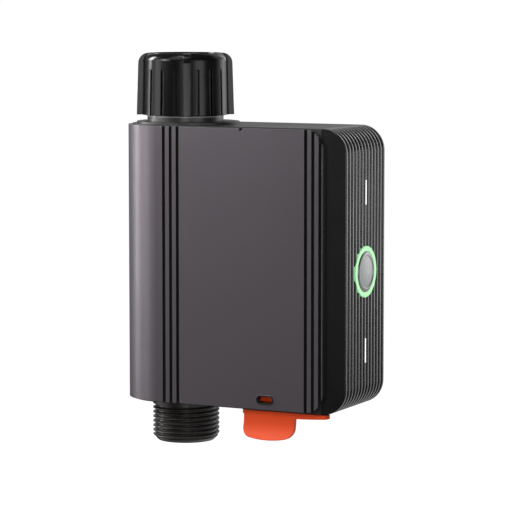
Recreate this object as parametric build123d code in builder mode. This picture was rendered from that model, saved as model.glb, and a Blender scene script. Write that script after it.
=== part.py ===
from build123d import *
import math
import os

os.makedirs("parts", exist_ok=True)

# A tap-mounted water valve. Sizes are in millimetres.
# The origin is on the pipe's axis, on the face of the inlet washer that the tap seats on.
# Z points up to the tap, X to the finned front with the button, and Y to the rear side.

# Fits and gaps
shaft_clearance = 0.06
slip_clearance = 0.1
moving_gap = 0.3
cut_over = 1.0

# Three-quarter inch parallel pipe thread, inlet and outlet alike
thread_major_r = 13.22
thread_pitch = 1.814
thread_depth = 1.162
thread_crest = 0.3
thread_flank_angle = 27.5
thread_sink = 0.12
thread_land = 1.6

# Case
case_half_depth = 18.25
case_wall = 2.0
case_floor = 2.2
case_edge = 0.3
end_centre_x = -3.3
front_x = 77.8
front_length = 10.0
corner_r = 9.7
boss_height = 0.8
boss_r = 17.8
boss_near_x = -1.5
boss_far_x = 4.0
partition_x = 17.2
partition_wall = 1.6
screw_r = 1.25
screw_head_r = 2.7
screw_head_height = 1.8
screw_boss_r = 3.2
screw_reach = 10.0
screw_inset_z = 13.0
lower_screw_x = 26.0
upper_screw_x = 60.0
screw_pitch_z = 42.0
upper_screw_inset_z = 10.0
upper_screw_pitch_z = 22.0

# Grey sheet folded round the case
sheet_wall = 1.3
sheet_clearance = 0.05
sheet_step = 0.45
sheet_cover = 0.6
sheet_corner_r = 7.2
groove_width = 1.15
groove_depth = 0.9
groove_pitch = 3.0
groove_count = 3
left_groove_x = 0.55
last_groove_inset = 0.95
notch_x = 34.0
notch_width = 1.4
notch_depth = 1.0
window_x = 44.3
window_rise = 3.85
window_length = 6.4
window_height = 2.7
window_rim = 0.45
window_rim_height = 0.25

# Finned front
fin_count = 13
fin_thickness = 1.7
fin_depth = 2.0
fin_edge = 0.55
front_wall = 1.8
seal_thickness = 0.4
strip_width = 0.9
strip_height = 9.4
strip_offset_z = 30.5
strip_proud = 0.05

# Button and its ring
button_rise = 53.2
ring_outer_r = 9.86
ring_inner_r = 8.0
ring_flange_r = 11.2
ring_flange = 1.4
ring_proud = 0.15
button_r = 7.85
button_dome = 0.9
button_body = 2.4
button_stem_r = 1.5
button_travel = 0.5
button_seal = 0.7

# Control board
board_gap = 1.2
board_thickness = 1.2
board_half_depth = 14.8
board_end_gap = 7.0
board_corner = 2.0
board_screw_y = 12.2
board_screw_inset = 4.0
board_post_r = 2.3
board_screw_r = 1.0
board_screw_head_r = 1.9
board_screw_head = 0.9
switch_side = 6.0
switch_height = 2.0
plunger_r = 1.6
plunger_sink = 0.4
plunger_proud = 0.8
led_length = 1.6
led_width = 0.8
led_height = 0.7
led_count = 8
radio_height_z = 16.0
radio_half_depth = 5.6
radio_y = 8.2
radio_rise = 24.0
radio_thickness = 2.2
radio_shield_inset = 0.8
radio_board = 0.8
antenna_width = 1.0
antenna_thickness = 0.5
antenna_height = 7.0
antenna_half_depth = 9.0
antenna_leg_gap = 2.0

# Pipe
outlet_length = 17.0
outlet_bore_r = 8.5
outlet_chamfer = 0.9
shoulder_r = 13.7
shoulder_drop = 0.8
flange_r = 16.0
flange_thickness = 2.5
pipe_r = 12.0
pipe_bore_r = 7.5
meter_length = 64.0
neck_r = 15.0
neck_rise = 2.6
chamber_r = 12.4
taper_height = 3.0

# Ball valve
ball_r = 11.0
ball_bore_r = 6.5
ball_flat_x = 9.6
ball_slot_width = 3.6
ball_slot_depth = 2.1
seat_clearance = 0.1
seat_outer_r = 12.3
seat_inner_r = 6.8
seat_floor = 11.3
seat_height = 4.8
stem_r = 4.0
stem_flange_r = 5.2
stem_flange = 1.5
stem_boss_r = 6.5
stem_boss_x = 20.5
stem_journal_r = 2.0
oring_r = 0.9
oring_squeeze = 0.04
stem_oring_x = 14.2
stem_oring_pitch = 3.2

# Inlet
tail_tube_r = 10.5
tail_flange_r = 11.8
tail_flange = 2.5
tail_oring_drop = 11.5
slip_ring_thickness = 0.5
slip_ring_r = 15.1
washer_thickness = 2.5
washer_inner_r = 8.2
filter_rim_r = 9.3
filter_rim = 0.6
filter_depth = 4.0
filter_wall = 0.5
filter_hole_r = 0.55
filter_hole_pitch = 1.8
filter_rings = 3
filter_ring_holes = 6

# Swivel nut
nut_height = 24.2
nut_gap = 0.25
nut_bottom_r = 17.0
nut_top_r = 16.5
nut_top_round = 3.0
nut_flange = 4.0
nut_recess_r = 12.4
nut_sleeve_r = 14.6
nut_entry_r = 13.9
nut_entry = 1.4
rib_bottom_r = 19.2
rib_top_r = 18.4
rib_round = 4.0
rib_width = 3.0
rib_count = 4
rib_turn = -60.6
flute_width = 1.1
flute_depth = 0.9
flute_drop = 6.4
flute_turn = 19.9
flutes_between = 4

# Flow meter
spider_height = 4.0
spider_rim = 1.3
spider_hub_r = 2.4
spider_arm = 1.4
spider_arms = 3
spider_cap = 0.8
impeller_gap = 1.0
impeller_height = 12.0
impeller_hub_r = 2.6
impeller_tip_r = 8.0
impeller_blades = 4
blade_thickness = 1.0
blade_lean = 40.0
impeller_shaft_r = 0.75
magnet_r = 2.0
magnet_bore_r = 1.0
magnet_length = 6.0
meter_board_half = 6.0
meter_board_height = 16.0
meter_board = 1.0
meter_chip = 3.0
meter_chip_height = 0.7
meter_post_r = 1.3
meter_post_y = 4.2

# Gears
pressure_angle = 20.0
addendum_share = 0.8
dedendum_share = 1.1
backlash = 0.08
centre_allowance = 0.04
flank_steps = 4
heavy_module = 0.8
light_module = 0.5
output_teeth = 30
first_pinion_teeth = 10
first_wheel_teeth = 32
second_pinion_teeth = 12
second_wheel_teeth = 30
motor_teeth = 10
first_angle = 110.0
second_angle = 0.0
motor_angle = -80.0
output_face = 4.0
wheel_face = 2.0
layer_gap = 0.4
gear_end_gap = 0.4
gear_shaft_r = 1.0
square_drive = 5.0

# Gearbox and motor
gearbox_plate = 1.4
gearbox_wall = 1.0
gearbox_half_depth = 15.9
gearbox_drop = 13.95
gearbox_rise = 25.1
gearbox_seat_gap = 0.15
gearbox_roof_gap = 0.4
gearbox_base_x = 20.8
gearbox_screw_r = 0.9
gearbox_screw_head_r = 1.6
gearbox_screw_head = 0.8
gearbox_lug_r = 2.2
motor_r = 8.0
motor_length = 20.0
motor_nose_r = 2.5
motor_nose = 1.0
motor_shaft_r = 0.75
motor_flat_share = 0.82
motor_screw_r = 0.8
motor_screw_y = 5.0
motor_screw_head_r = 1.5
motor_screw_head = 0.8
motor_screw_reach = 3.0
lead_r = 0.6
lead_spread = 3.0

# Battery drawer
cell_r = 7.25
cell_length = 50.5
cell_nub_r = 2.6
cell_nub = 1.0
cell_gap = 0.1
cell_edge = 0.5
tray_wall = 1.1
tray_web = 1.0
tray_half_depth = 15.2
tray_plate = 1.2
contact_thickness = 0.4
contact_bump = 0.8
contact_bump_r = 3.0
contact_width = 9.0
terminal_pin_r = 1.0
terminal_size = 6.0
bay_wall = 1.1
drawer_gap = 0.3
bay_half_depth = 15.8
plug_half_depth = 15.5
plug_height = 9.9
plug_pocket_inset = 4.4
plug_floor = 1.6
gasket_rise = 7.2
gasket_height = 1.8
gasket_depth = 0.8
leaf_height = 1.3
leaf_thickness = 0.3
leaf_foot = 1.6
leaf_reach = 4.8
leaf_lip = 0.9
leaf_lip_rise = 0.4
leaf_width = 4.0
lip_height = 2.3
lip_sag = 0.8
lip_depth = 3.4
lip_inset = 0.65
lip_corner = 0.5
lip_left_x = 33.2
lip_right_x = 70.0
tongue_left_x = 34.4
tongue_right_x = 56.0
tongue_drop = 8.6
tongue_root = 1.2
tongue_reach = 3.0
tongue_thickness = 1.9
tongue_bow = 0.9
tongue_corner_r = 4.0
tongue_sag = 1.4

# Latch hook
hook_width = 5.9
hook_thickness = 1.2
hook_nose = 2.2
hook_nose_round = 0.5
hook_inset = 0.4
hook_set_back = 2.3
hook_pivot_rise = 1.4
hook_barrel_r = 1.0
hook_pin_r = 0.6
hook_pin_reach = 1.0
hook_recess = 3.1
hook_recess_height = 6.7
hook_channel_rise = 2.6

# Places worked out from the sizes above
thread_minor_r = thread_major_r - thread_depth
tail_top = -washer_thickness
tail_flange_bottom = tail_top - tail_flange
nut_bottom = tail_flange_bottom - moving_gap - nut_flange
nut_top = nut_bottom + nut_height
neck_top = nut_bottom - nut_gap - slip_ring_thickness
case_top = neck_top - neck_rise
tray_stack = 2 * tray_plate + 2 * contact_thickness + contact_bump + cell_length
drawer_stack = plug_height - drawer_gap + tray_stack + contact_thickness + moving_gap + leaf_height
ball_rise = drawer_stack + bay_wall + gearbox_seat_gap + gearbox_drop
case_height = ball_rise + gearbox_rise + gearbox_roof_gap + case_floor
case_bottom = case_top - case_height
outlet_end = case_bottom - outlet_length
case_floor_top = case_bottom + case_floor
case_roof = case_top - case_floor
inner_half_depth = case_half_depth - case_wall
front_start_x = front_x - front_length
case_end_x = front_start_x - seal_thickness
sheet_bottom = case_bottom + sheet_step
sheet_top = case_top - sheet_step
sheet_height = sheet_top - sheet_bottom
sheet_inner = case_half_depth + sheet_clearance
sheet_outer = sheet_inner + sheet_wall
sheet_end_x = front_start_x + sheet_cover
window_z = sheet_bottom + window_rise
button_z = sheet_bottom + button_rise
fin_root_x = front_x - fin_depth
front_inner_x = fin_root_x - front_wall
board_back_x = front_start_x + board_gap
board_face_x = board_back_x + board_thickness
board_bottom = case_bottom + board_end_gap
board_height = case_height - 2 * board_end_gap
ball_z = case_bottom + ball_rise
meter_top = outlet_end + meter_length
chamber_floor = ball_z - seat_floor
chamber_roof = ball_z + seat_floor
gearbox_inner_x = gearbox_base_x + gearbox_plate
output_gear_x = gearbox_inner_x + gear_end_gap
second_layer_x = output_gear_x + output_face + layer_gap
third_layer_x = second_layer_x + wheel_face + layer_gap
gearbox_cover_x = third_layer_x + wheel_face + gear_end_gap
motor_x = gearbox_cover_x + gearbox_plate
gearbox_bottom = ball_z - gearbox_drop
gearbox_top = ball_z + gearbox_rise
bay_right_x = case_end_x - bay_wall
tray_right_x = bay_right_x - drawer_gap
tray_length = 2 * (tray_wall + 2 * cell_r + 2 * cell_gap)
tray_left_x = tray_right_x - tray_length
tray_mid_x = tray_left_x + tray_length / 2
bay_left_x = tray_left_x - drawer_gap
cover_top = case_bottom - drawer_gap
lip_bottom = cover_top - lip_height
lip_y = case_half_depth - lip_inset
plug_top = cover_top + plug_height
tray_floor_top = plug_top + tray_plate
cell_bottom = tray_floor_top + contact_thickness + contact_bump
cell_top = cell_bottom + cell_length
tray_top = cell_top + contact_thickness + tray_plate
terminal_top = tray_top + contact_thickness
bay_roof = terminal_top + moving_gap + leaf_height
cell_x_offset = cell_r + cell_gap
cell_y_offset = cell_r + tray_web / 2
hook_pivot_z = cover_top + hook_pivot_rise
hook_y = plug_half_depth - hook_inset
hook_tip_y = sheet_outer - hook_set_back
hook_pivot_y = hook_y - hook_thickness / 2


def centre_distance(module, teeth_a, teeth_b):
    """Distance between two gear axes, with a little allowance so that the teeth run free."""
    return module * (teeth_a + teeth_b) / 2 + centre_allowance


def from_axis(origin, distance, angle):
    """Point in the gear plane, (y, z), at a distance and an angle from another axis."""
    return (
        origin[0] + distance * math.cos(math.radians(angle)),
        origin[1] + distance * math.sin(math.radians(angle)),
    )


output_axis = (0, ball_z)
first_axis = from_axis(
    output_axis, centre_distance(heavy_module, output_teeth, first_pinion_teeth), first_angle
)
second_axis = from_axis(
    first_axis, centre_distance(light_module, first_wheel_teeth, second_pinion_teeth), second_angle
)
motor_axis = from_axis(
    second_axis, centre_distance(light_module, second_wheel_teeth, motor_teeth), motor_angle
)


def involute(angle):
    """The involute function of an angle in radians."""
    return math.tan(angle) - angle


def gear_face(plane, axis, module, teeth, tooth_angle):
    """Outline of a spur gear on a plane, with one tooth centred at the given angle."""
    pitch_r = module * teeth / 2
    pressure = math.radians(pressure_angle)
    base_r = pitch_r * math.cos(pressure)
    tip_r = pitch_r + addendum_share * module
    root_r = pitch_r - dedendum_share * module
    flank_start_r = max(base_r, root_r)
    half_tooth = (math.pi * module / 2 - backlash) / (2 * pitch_r)
    flank = []
    if root_r < base_r:
        flank.append((root_r, half_tooth + involute(pressure)))
    for step in range(flank_steps + 1):
        radius = flank_start_r + (tip_r - flank_start_r) * step / flank_steps
        lean = involute(pressure) - involute(math.acos(min(base_r / radius, 1)))
        flank.append((radius, half_tooth + lean))
    points = []
    for tooth in range(teeth):
        centre = math.radians(tooth_angle) + 2 * math.pi * tooth / teeth
        rising = [(radius, centre - half) for radius, half in flank]
        falling = [(radius, centre + half) for radius, half in reversed(flank)]
        for radius, angle in rising + falling:
            points.append((axis[0] + radius * math.cos(angle), axis[1] + radius * math.sin(angle)))
    with BuildSketch(plane) as face:
        with BuildLine():
            Polyline(*points, close=True)
        make_face()
    return face.sketch


def circle_face(plane, place, radius):
    """A round face on a plane, centred at a place in that plane."""
    with BuildSketch(plane) as face:
        with Locations(place):
            Circle(radius)
    return face.sketch


def box_between(x_range, y_range, z_range, mode=Mode.ADD):
    """A box given by its lowest and highest value along each axis."""
    with Locations((x_range[0], y_range[0], z_range[0])):
        Box(
            x_range[1] - x_range[0],
            y_range[1] - y_range[0],
            z_range[1] - z_range[0],
            align=(Align.MIN, Align.MIN, Align.MIN),
            mode=mode,
        )


def plan_face(z, half_depth, end_x):
    """Plan of the case: a half round on the left and straight sides up to end_x."""
    with BuildSketch(Plane.XY.offset(z)) as plan:
        with BuildLine():
            Polyline(
                (end_centre_x, half_depth),
                (end_x, half_depth),
                (end_x, -half_depth),
                (end_centre_x, -half_depth),
            )
            ThreePointArc(
                (end_centre_x, -half_depth),
                (end_centre_x - half_depth, 0),
                (end_centre_x, half_depth),
            )
        make_face()
    return plan.sketch


def front_face(y, start_x, end_x, radius, bottom, top):
    """Side view of the front: straight at start_x, with its two outer corners rounded."""
    with BuildSketch(Plane.XZ.offset(-y)) as side:
        with Locations((start_x, bottom)):
            Rectangle(end_x - start_x, top - bottom, align=(Align.MIN, Align.MIN))
        outer = side.vertices().group_by(Axis.X)[-1]
        fillet(outer, radius)
    return side.sketch


def ring_profile(inner_r, outer_r, bottom, top):
    """Half section of a plain ring, for a turn about Z."""
    with BuildSketch(Plane.XZ) as section:
        with Locations((inner_r, bottom)):
            Rectangle(outer_r - inner_r, top - bottom, align=(Align.MIN, Align.MIN))
    return section.sketch


def turned_profile(points):
    """Closed half section through points (r, z), for a turn about Z."""
    with BuildSketch(Plane.XZ) as section:
        with BuildLine():
            Polyline(*points, close=True)
        make_face()
    return section.sketch


def thread_ridge(bottom, top, root_r, crest_r):
    """Helical ridge of the pipe thread; it points outwards if crest_r is the larger radius."""
    outwards = 1 if crest_r > root_r else -1
    flank_slope = math.tan(math.radians(thread_flank_angle))
    crest_half = thread_crest / 2
    foot_half = crest_half + (thread_depth + thread_sink) * flank_slope
    foot_r = root_r - outwards * thread_sink
    with BuildPart() as ridge:
        with BuildLine():
            path = Helix(pitch=thread_pitch, height=top - bottom, radius=foot_r, center=(0, 0, bottom))
        with BuildSketch(Plane.XZ):
            with BuildLine():
                Polyline(
                    (foot_r, bottom - foot_half),
                    (crest_r, bottom - crest_half),
                    (crest_r, bottom + crest_half),
                    (foot_r, bottom + foot_half),
                    close=True,
                )
            make_face()
        sweep(path=path, is_frenet=True)
    return ridge.part


def finish(piece, name):
    """Label a finished piece and write its file."""
    piece.part.label = name
    export_step(piece.part, "parts/" + name + ".step")


# Valve body: outlet thread, meter pipe, ball chamber and neck in one moulding
shoulder_bottom = case_bottom - shoulder_drop
land_bottom = shoulder_bottom - thread_land
lower_flange_bottom = case_floor_top + moving_gap
upper_flange_top = case_roof - moving_gap
pipe_top = chamber_floor - 2 * taper_height
thread_blank_bottom = outlet_end - 2 * thread_pitch
outlet_ridge = thread_ridge(outlet_end - thread_pitch / 2, land_bottom, thread_minor_r, thread_major_r)
with BuildPart() as valve_body:
    revolve(ring_profile(0, thread_minor_r, thread_blank_bottom, case_bottom), axis=Axis.Z)
    add(outlet_ridge)
    with BuildSketch(Plane.XZ):
        with BuildLine():
            Polyline(
                (0, land_bottom),
                (thread_major_r, land_bottom),
                (thread_major_r, shoulder_bottom),
                (shoulder_r, shoulder_bottom),
                (shoulder_r, lower_flange_bottom),
                (flange_r, lower_flange_bottom),
                (flange_r, lower_flange_bottom + flange_thickness),
                (pipe_r, lower_flange_bottom + flange_thickness),
                (pipe_r, pipe_top),
                (neck_r, pipe_top + taper_height),
                (neck_r, upper_flange_top - flange_thickness),
                (flange_r, upper_flange_top - flange_thickness),
                (flange_r, upper_flange_top),
                (neck_r, upper_flange_top),
                (neck_r, neck_top),
                (0, neck_top),
                close=True,
            )
        make_face()
    revolve(axis=Axis.Z)
    revolve(
        turned_profile(
            [
                (thread_minor_r - outlet_chamfer, outlet_end),
                (thread_major_r + cut_over, outlet_end),
                (thread_major_r + cut_over, outlet_end + outlet_chamfer + thread_depth + cut_over),
            ]
        ),
        axis=Axis.Z,
        mode=Mode.SUBTRACT,
    )
    revolve(
        ring_profile(0, thread_major_r + cut_over, thread_blank_bottom, outlet_end),
        axis=Axis.Z,
        mode=Mode.SUBTRACT,
    )
    extrude(circle_face(Plane.YZ, output_axis, stem_boss_r), amount=stem_boss_x)
    revolve(
        ring_profile(0, outlet_bore_r, outlet_end - cut_over, meter_top),
        axis=Axis.Z,
        mode=Mode.SUBTRACT,
    )
    revolve(ring_profile(0, pipe_bore_r, meter_top, chamber_floor), axis=Axis.Z, mode=Mode.SUBTRACT)
    revolve(
        ring_profile(0, chamber_r, chamber_floor, neck_top + cut_over),
        axis=Axis.Z,
        mode=Mode.SUBTRACT,
    )
    extrude(
        circle_face(Plane.YZ, output_axis, stem_r + shaft_clearance),
        amount=stem_boss_x + cut_over,
        mode=Mode.SUBTRACT,
    )
finish(valve_body, "valve_body")

# Inlet tailpiece: screws down on the upper seat and carries the swivel nut
tail_body_r = chamber_r - slip_clearance
tail_ring_z = neck_top - tail_oring_drop
tail_ring_r = chamber_r - oring_r - oring_squeeze
tail_groove_r = tail_ring_r - oring_r - oring_squeeze
tail_groove_half = oring_r + oring_squeeze
with BuildPart() as inlet_tailpiece:
    revolve(
        turned_profile(
            [
                (pipe_bore_r, chamber_roof),
                (tail_body_r, chamber_roof),
                (tail_body_r, tail_ring_z - tail_groove_half),
                (tail_groove_r, tail_ring_z - tail_groove_half),
                (tail_groove_r, tail_ring_z + tail_groove_half),
                (tail_body_r, tail_ring_z + tail_groove_half),
                (tail_body_r, neck_top),
                (tail_tube_r, neck_top),
                (tail_tube_r, tail_flange_bottom),
                (tail_flange_r, tail_flange_bottom),
                (tail_flange_r, tail_top),
                (filter_rim_r, tail_top),
                (filter_rim_r, tail_top - filter_rim),
                (pipe_bore_r, tail_top - filter_rim),
            ]
        ),
        axis=Axis.Z,
    )
finish(inlet_tailpiece, "inlet_tailpiece")

with BuildPart() as tailpiece_oring:
    revolve(circle_face(Plane.XZ, (tail_ring_r, tail_ring_z), oring_r), axis=Axis.Z)
finish(tailpiece_oring, "tailpiece_oring")

with BuildPart() as slip_ring:
    revolve(
        ring_profile(tail_tube_r + slip_clearance, slip_ring_r, neck_top, neck_top + slip_ring_thickness),
        axis=Axis.Z,
    )
finish(slip_ring, "slip_ring")

with BuildPart() as inlet_washer:
    revolve(ring_profile(washer_inner_r, tail_flange_r, tail_top, 0), axis=Axis.Z)
finish(inlet_washer, "inlet_washer")

# Filter: a rim let into the tailpiece under the washer and a shallow pierced cup
filter_cup_r = pipe_bore_r - slip_clearance
filter_top = tail_top
filter_bottom = tail_top - filter_depth
with BuildPart() as filter_screen:
    revolve(
        turned_profile(
            [
                (0, filter_bottom),
                (filter_cup_r, filter_bottom),
                (filter_cup_r, filter_top - filter_rim),
                (filter_rim_r - slip_clearance, filter_top - filter_rim),
                (filter_rim_r - slip_clearance, filter_top),
                (filter_cup_r - filter_wall, filter_top),
                (filter_cup_r - filter_wall, filter_bottom + filter_wall),
                (0, filter_bottom + filter_wall),
            ]
        ),
        axis=Axis.Z,
    )
    with BuildSketch(Plane.XY.offset(filter_bottom - cut_over)):
        Circle(filter_hole_r)
        for ring in range(1, filter_rings + 1):
            with PolarLocations(ring * filter_hole_pitch, ring * filter_ring_holes):
                Circle(filter_hole_r)
    extrude(amount=filter_wall + 2 * cut_over, mode=Mode.SUBTRACT)
finish(filter_screen, "filter_screen")

# Swivel nut: four broad ribs, narrow flutes between them and the inlet thread inside
nut_recess_top = 0
nut_thread_bottom = nut_recess_top + thread_land
nut_thread_top = nut_top - nut_entry
inlet_ridge = thread_ridge(nut_thread_bottom + thread_pitch / 2, nut_top, thread_major_r, thread_minor_r)
with BuildPart() as nut_ribs:
    with BuildSketch(Plane.XZ) as rib_section:
        with BuildLine():
            Polyline(
                (0, nut_bottom),
                (rib_bottom_r, nut_bottom),
                (rib_top_r, nut_top),
                (0, nut_top),
                close=True,
            )
        make_face()
        fillet(rib_section.vertices().sort_by(Axis.X)[-2:].sort_by(Axis.Y)[-1], rib_round)
    revolve(axis=Axis.Z)
    with BuildSketch(Plane.XY.offset(nut_bottom)):
        with PolarLocations(rib_bottom_r / 2, rib_count, start_angle=rib_turn):
            Rectangle(rib_bottom_r + cut_over, rib_width)
    extrude(amount=nut_height, mode=Mode.INTERSECT)

flute_root_r = nut_top_r - flute_depth
flute_cut = flute_depth + cut_over
with BuildPart() as nut_shell:
    with BuildSketch(Plane.XZ) as nut_section:
        with BuildLine():
            Polyline(
                (0, nut_bottom),
                (nut_bottom_r, nut_bottom),
                (nut_top_r, nut_top),
                (0, nut_top),
                close=True,
            )
        make_face()
        fillet(nut_section.vertices().sort_by(Axis.X)[-2:].sort_by(Axis.Y)[-1], nut_top_round)
    revolve(axis=Axis.Z)
    add(nut_ribs.part)
    with BuildSketch(Plane.XY.offset(nut_bottom - cut_over)):
        for flute in range(flutes_between):
            turn = rib_turn + 180 / rib_count + (flute - (flutes_between - 1) / 2) * flute_turn
            with PolarLocations(flute_root_r + flute_cut / 2, rib_count, start_angle=turn):
                Rectangle(flute_cut, flute_width)
    extrude(amount=nut_height - flute_drop + cut_over, mode=Mode.SUBTRACT)
    revolve(
        turned_profile(
            [
                (0, nut_bottom - cut_over),
                (tail_tube_r + shaft_clearance, nut_bottom - cut_over),
                (tail_tube_r + shaft_clearance, nut_bottom + nut_flange),
                (nut_recess_r, nut_bottom + nut_flange),
                (nut_recess_r, nut_recess_top),
                (thread_minor_r, nut_recess_top),
                (thread_minor_r, nut_thread_bottom),
                (nut_sleeve_r, nut_thread_bottom),
                (nut_sleeve_r, nut_top + cut_over),
                (0, nut_top + cut_over),
            ]
        ),
        axis=Axis.Z,
        mode=Mode.SUBTRACT,
    )

nut_blank_top = nut_top + 2 * thread_pitch
with BuildPart() as swivel_nut:
    revolve(ring_profile(thread_major_r, nut_sleeve_r, nut_thread_bottom, nut_blank_top), axis=Axis.Z)
    add(inlet_ridge)
    revolve(
        turned_profile(
            [
                (thread_minor_r - thread_depth, nut_blank_top + cut_over),
                (thread_minor_r - thread_depth, nut_thread_top - thread_depth),
                (thread_major_r, nut_thread_top),
                (nut_entry_r, nut_top),
                (nut_sleeve_r + cut_over, nut_top),
                (nut_sleeve_r + cut_over, nut_blank_top + cut_over),
            ]
        ),
        axis=Axis.Z,
        mode=Mode.SUBTRACT,
    )
    add(nut_shell.part)
finish(swivel_nut, "swivel_nut")

# Ball valve: ball, two seats and the stem that turns it about X
slot_floor_x = ball_flat_x - ball_slot_depth
with BuildPart() as valve_ball:
    with Locations((0, 0, ball_z)):
        Sphere(ball_r)
        Cylinder(ball_bore_r, 2 * ball_r + cut_over, mode=Mode.SUBTRACT)
    box_between(
        (ball_flat_x, ball_r + cut_over),
        (-ball_r, ball_r),
        (ball_z - ball_r, ball_z + ball_r),
        mode=Mode.SUBTRACT,
    )
    box_between(
        (slot_floor_x, ball_flat_x + cut_over),
        (-ball_r, ball_r),
        (ball_z - ball_slot_width / 2, ball_z + ball_slot_width / 2),
        mode=Mode.SUBTRACT,
    )
finish(valve_ball, "valve_ball")

for seat_name, seat_side in (("lower_seat", -1), ("upper_seat", 1)):
    seat_far_z = ball_z + seat_side * seat_floor
    seat_near_z = seat_far_z - seat_side * seat_height
    with BuildPart() as seat:
        revolve(
            ring_profile(
                seat_inner_r,
                seat_outer_r,
                min(seat_far_z, seat_near_z),
                max(seat_far_z, seat_near_z),
            ),
            axis=Axis.Z,
        )
        with Locations((0, 0, ball_z)):
            Sphere(ball_r + seat_clearance, mode=Mode.SUBTRACT)
    finish(seat, seat_name)

tongue_end_x = slot_floor_x + slip_clearance
stem_flange_x = ball_flat_x + slip_clearance
stem_shaft_x = stem_flange_x + stem_flange
square_start_x = output_gear_x - gear_end_gap
square_end_x = output_gear_x + output_face + gear_end_gap
journal_end_x = gearbox_cover_x + gearbox_plate
stem_ring_r = stem_r - oring_r
stem_groove_r = stem_ring_r - oring_r - oring_squeeze
stem_groove_width = 2 * (oring_r + oring_squeeze)
stem_ring_places = [stem_oring_x, stem_oring_x + stem_oring_pitch]
with BuildPart() as valve_stem:
    box_between(
        (tongue_end_x, stem_flange_x),
        (-stem_flange_r + slip_clearance, stem_flange_r - slip_clearance),
        (
            ball_z - ball_slot_width / 2 + slip_clearance,
            ball_z + ball_slot_width / 2 - slip_clearance,
        ),
    )
    extrude(circle_face(Plane.YZ.offset(stem_flange_x), output_axis, stem_flange_r), amount=stem_flange)
    extrude(
        circle_face(Plane.YZ.offset(stem_shaft_x), output_axis, stem_r),
        amount=square_start_x - stem_shaft_x,
    )
    with BuildSketch(Plane.YZ.offset(square_start_x)):
        with Locations(output_axis):
            Rectangle(square_drive, square_drive)
    extrude(amount=square_end_x - square_start_x)
    extrude(
        circle_face(Plane.YZ.offset(square_end_x), output_axis, stem_journal_r),
        amount=journal_end_x - square_end_x,
    )
    for ring_x in stem_ring_places:
        with BuildSketch(Plane.YZ.offset(ring_x - stem_groove_width / 2)):
            with Locations(output_axis):
                Circle(stem_r + cut_over)
                Circle(stem_groove_r, mode=Mode.SUBTRACT)
        extrude(amount=stem_groove_width, mode=Mode.SUBTRACT)
finish(valve_stem, "valve_stem")

with BuildPart() as stem_orings:
    for ring_x in stem_ring_places:
        with Locations(Location((ring_x, 0, ball_z), (0, 90, 0))):
            Torus(stem_ring_r, oring_r)
finish(stem_orings, "stem_orings")

# Gear train: the motor pinion drives the second gear, that the first, and that the stem's gear
first_to_output = first_angle + 180
second_to_first = second_angle + 180
motor_to_second = motor_angle + 180
with BuildPart() as output_gear:
    extrude(
        gear_face(
            Plane.YZ.offset(output_gear_x), output_axis, heavy_module, output_teeth, first_angle
        ),
        amount=output_face,
    )
    with BuildSketch(Plane.YZ.offset(output_gear_x)):
        with Locations(output_axis):
            Rectangle(square_drive + 2 * slip_clearance, square_drive + 2 * slip_clearance)
    extrude(amount=output_face, mode=Mode.SUBTRACT)
finish(output_gear, "output_gear")

with BuildPart() as first_gear:
    extrude(
        gear_face(
            Plane.YZ.offset(output_gear_x),
            first_axis,
            heavy_module,
            first_pinion_teeth,
            first_to_output + 180 / first_pinion_teeth,
        ),
        amount=second_layer_x - output_gear_x,
    )
    extrude(
        gear_face(
            Plane.YZ.offset(second_layer_x), first_axis, light_module, first_wheel_teeth, second_angle
        ),
        amount=wheel_face,
    )
    extrude(
        circle_face(Plane.YZ.offset(output_gear_x), first_axis, gear_shaft_r + shaft_clearance),
        amount=second_layer_x + wheel_face - output_gear_x,
        mode=Mode.SUBTRACT,
    )
finish(first_gear, "first_gear")

with BuildPart() as second_gear:
    extrude(
        gear_face(
            Plane.YZ.offset(second_layer_x),
            second_axis,
            light_module,
            second_pinion_teeth,
            second_to_first + 180 / second_pinion_teeth,
        ),
        amount=third_layer_x - second_layer_x,
    )
    extrude(
        gear_face(
            Plane.YZ.offset(third_layer_x), second_axis, light_module, second_wheel_teeth, motor_angle
        ),
        amount=wheel_face,
    )
    extrude(
        circle_face(Plane.YZ.offset(second_layer_x), second_axis, gear_shaft_r + shaft_clearance),
        amount=third_layer_x + wheel_face - second_layer_x,
        mode=Mode.SUBTRACT,
    )
finish(second_gear, "second_gear")

with BuildPart() as motor_pinion:
    extrude(
        gear_face(
            Plane.YZ.offset(third_layer_x),
            motor_axis,
            light_module,
            motor_teeth,
            motor_to_second + 180 / motor_teeth,
        ),
        amount=wheel_face,
    )
    extrude(
        circle_face(Plane.YZ.offset(third_layer_x), motor_axis, motor_shaft_r),
        amount=wheel_face,
        mode=Mode.SUBTRACT,
    )
finish(motor_pinion, "motor_pinion")

motor_shaft_end_x = motor_x + motor_length / 2
with BuildPart() as motor_shaft:
    extrude(
        circle_face(Plane.YZ.offset(third_layer_x), motor_axis, motor_shaft_r),
        amount=motor_shaft_end_x - third_layer_x,
    )
finish(motor_shaft, "motor_shaft")

shaft_start_x = gearbox_base_x + gearbox_plate / 2
with BuildPart() as gear_shafts:
    for shaft_axis in (first_axis, second_axis):
        extrude(
            circle_face(Plane.YZ.offset(shaft_start_x), shaft_axis, gear_shaft_r),
            amount=motor_x - shaft_start_x,
        )
finish(gear_shafts, "gear_shafts")

# Gearbox: a tray with four corner posts, closed by the plate that carries the motor
gearbox_corners = [
    (side * (gearbox_half_depth - gearbox_lug_r), height)
    for side in (-1, 1)
    for height in (gearbox_bottom + gearbox_lug_r, gearbox_top - gearbox_lug_r)
]


motor_screw_places = [(motor_axis[0] + side * motor_screw_y, motor_axis[1]) for side in (-1, 1)]


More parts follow.
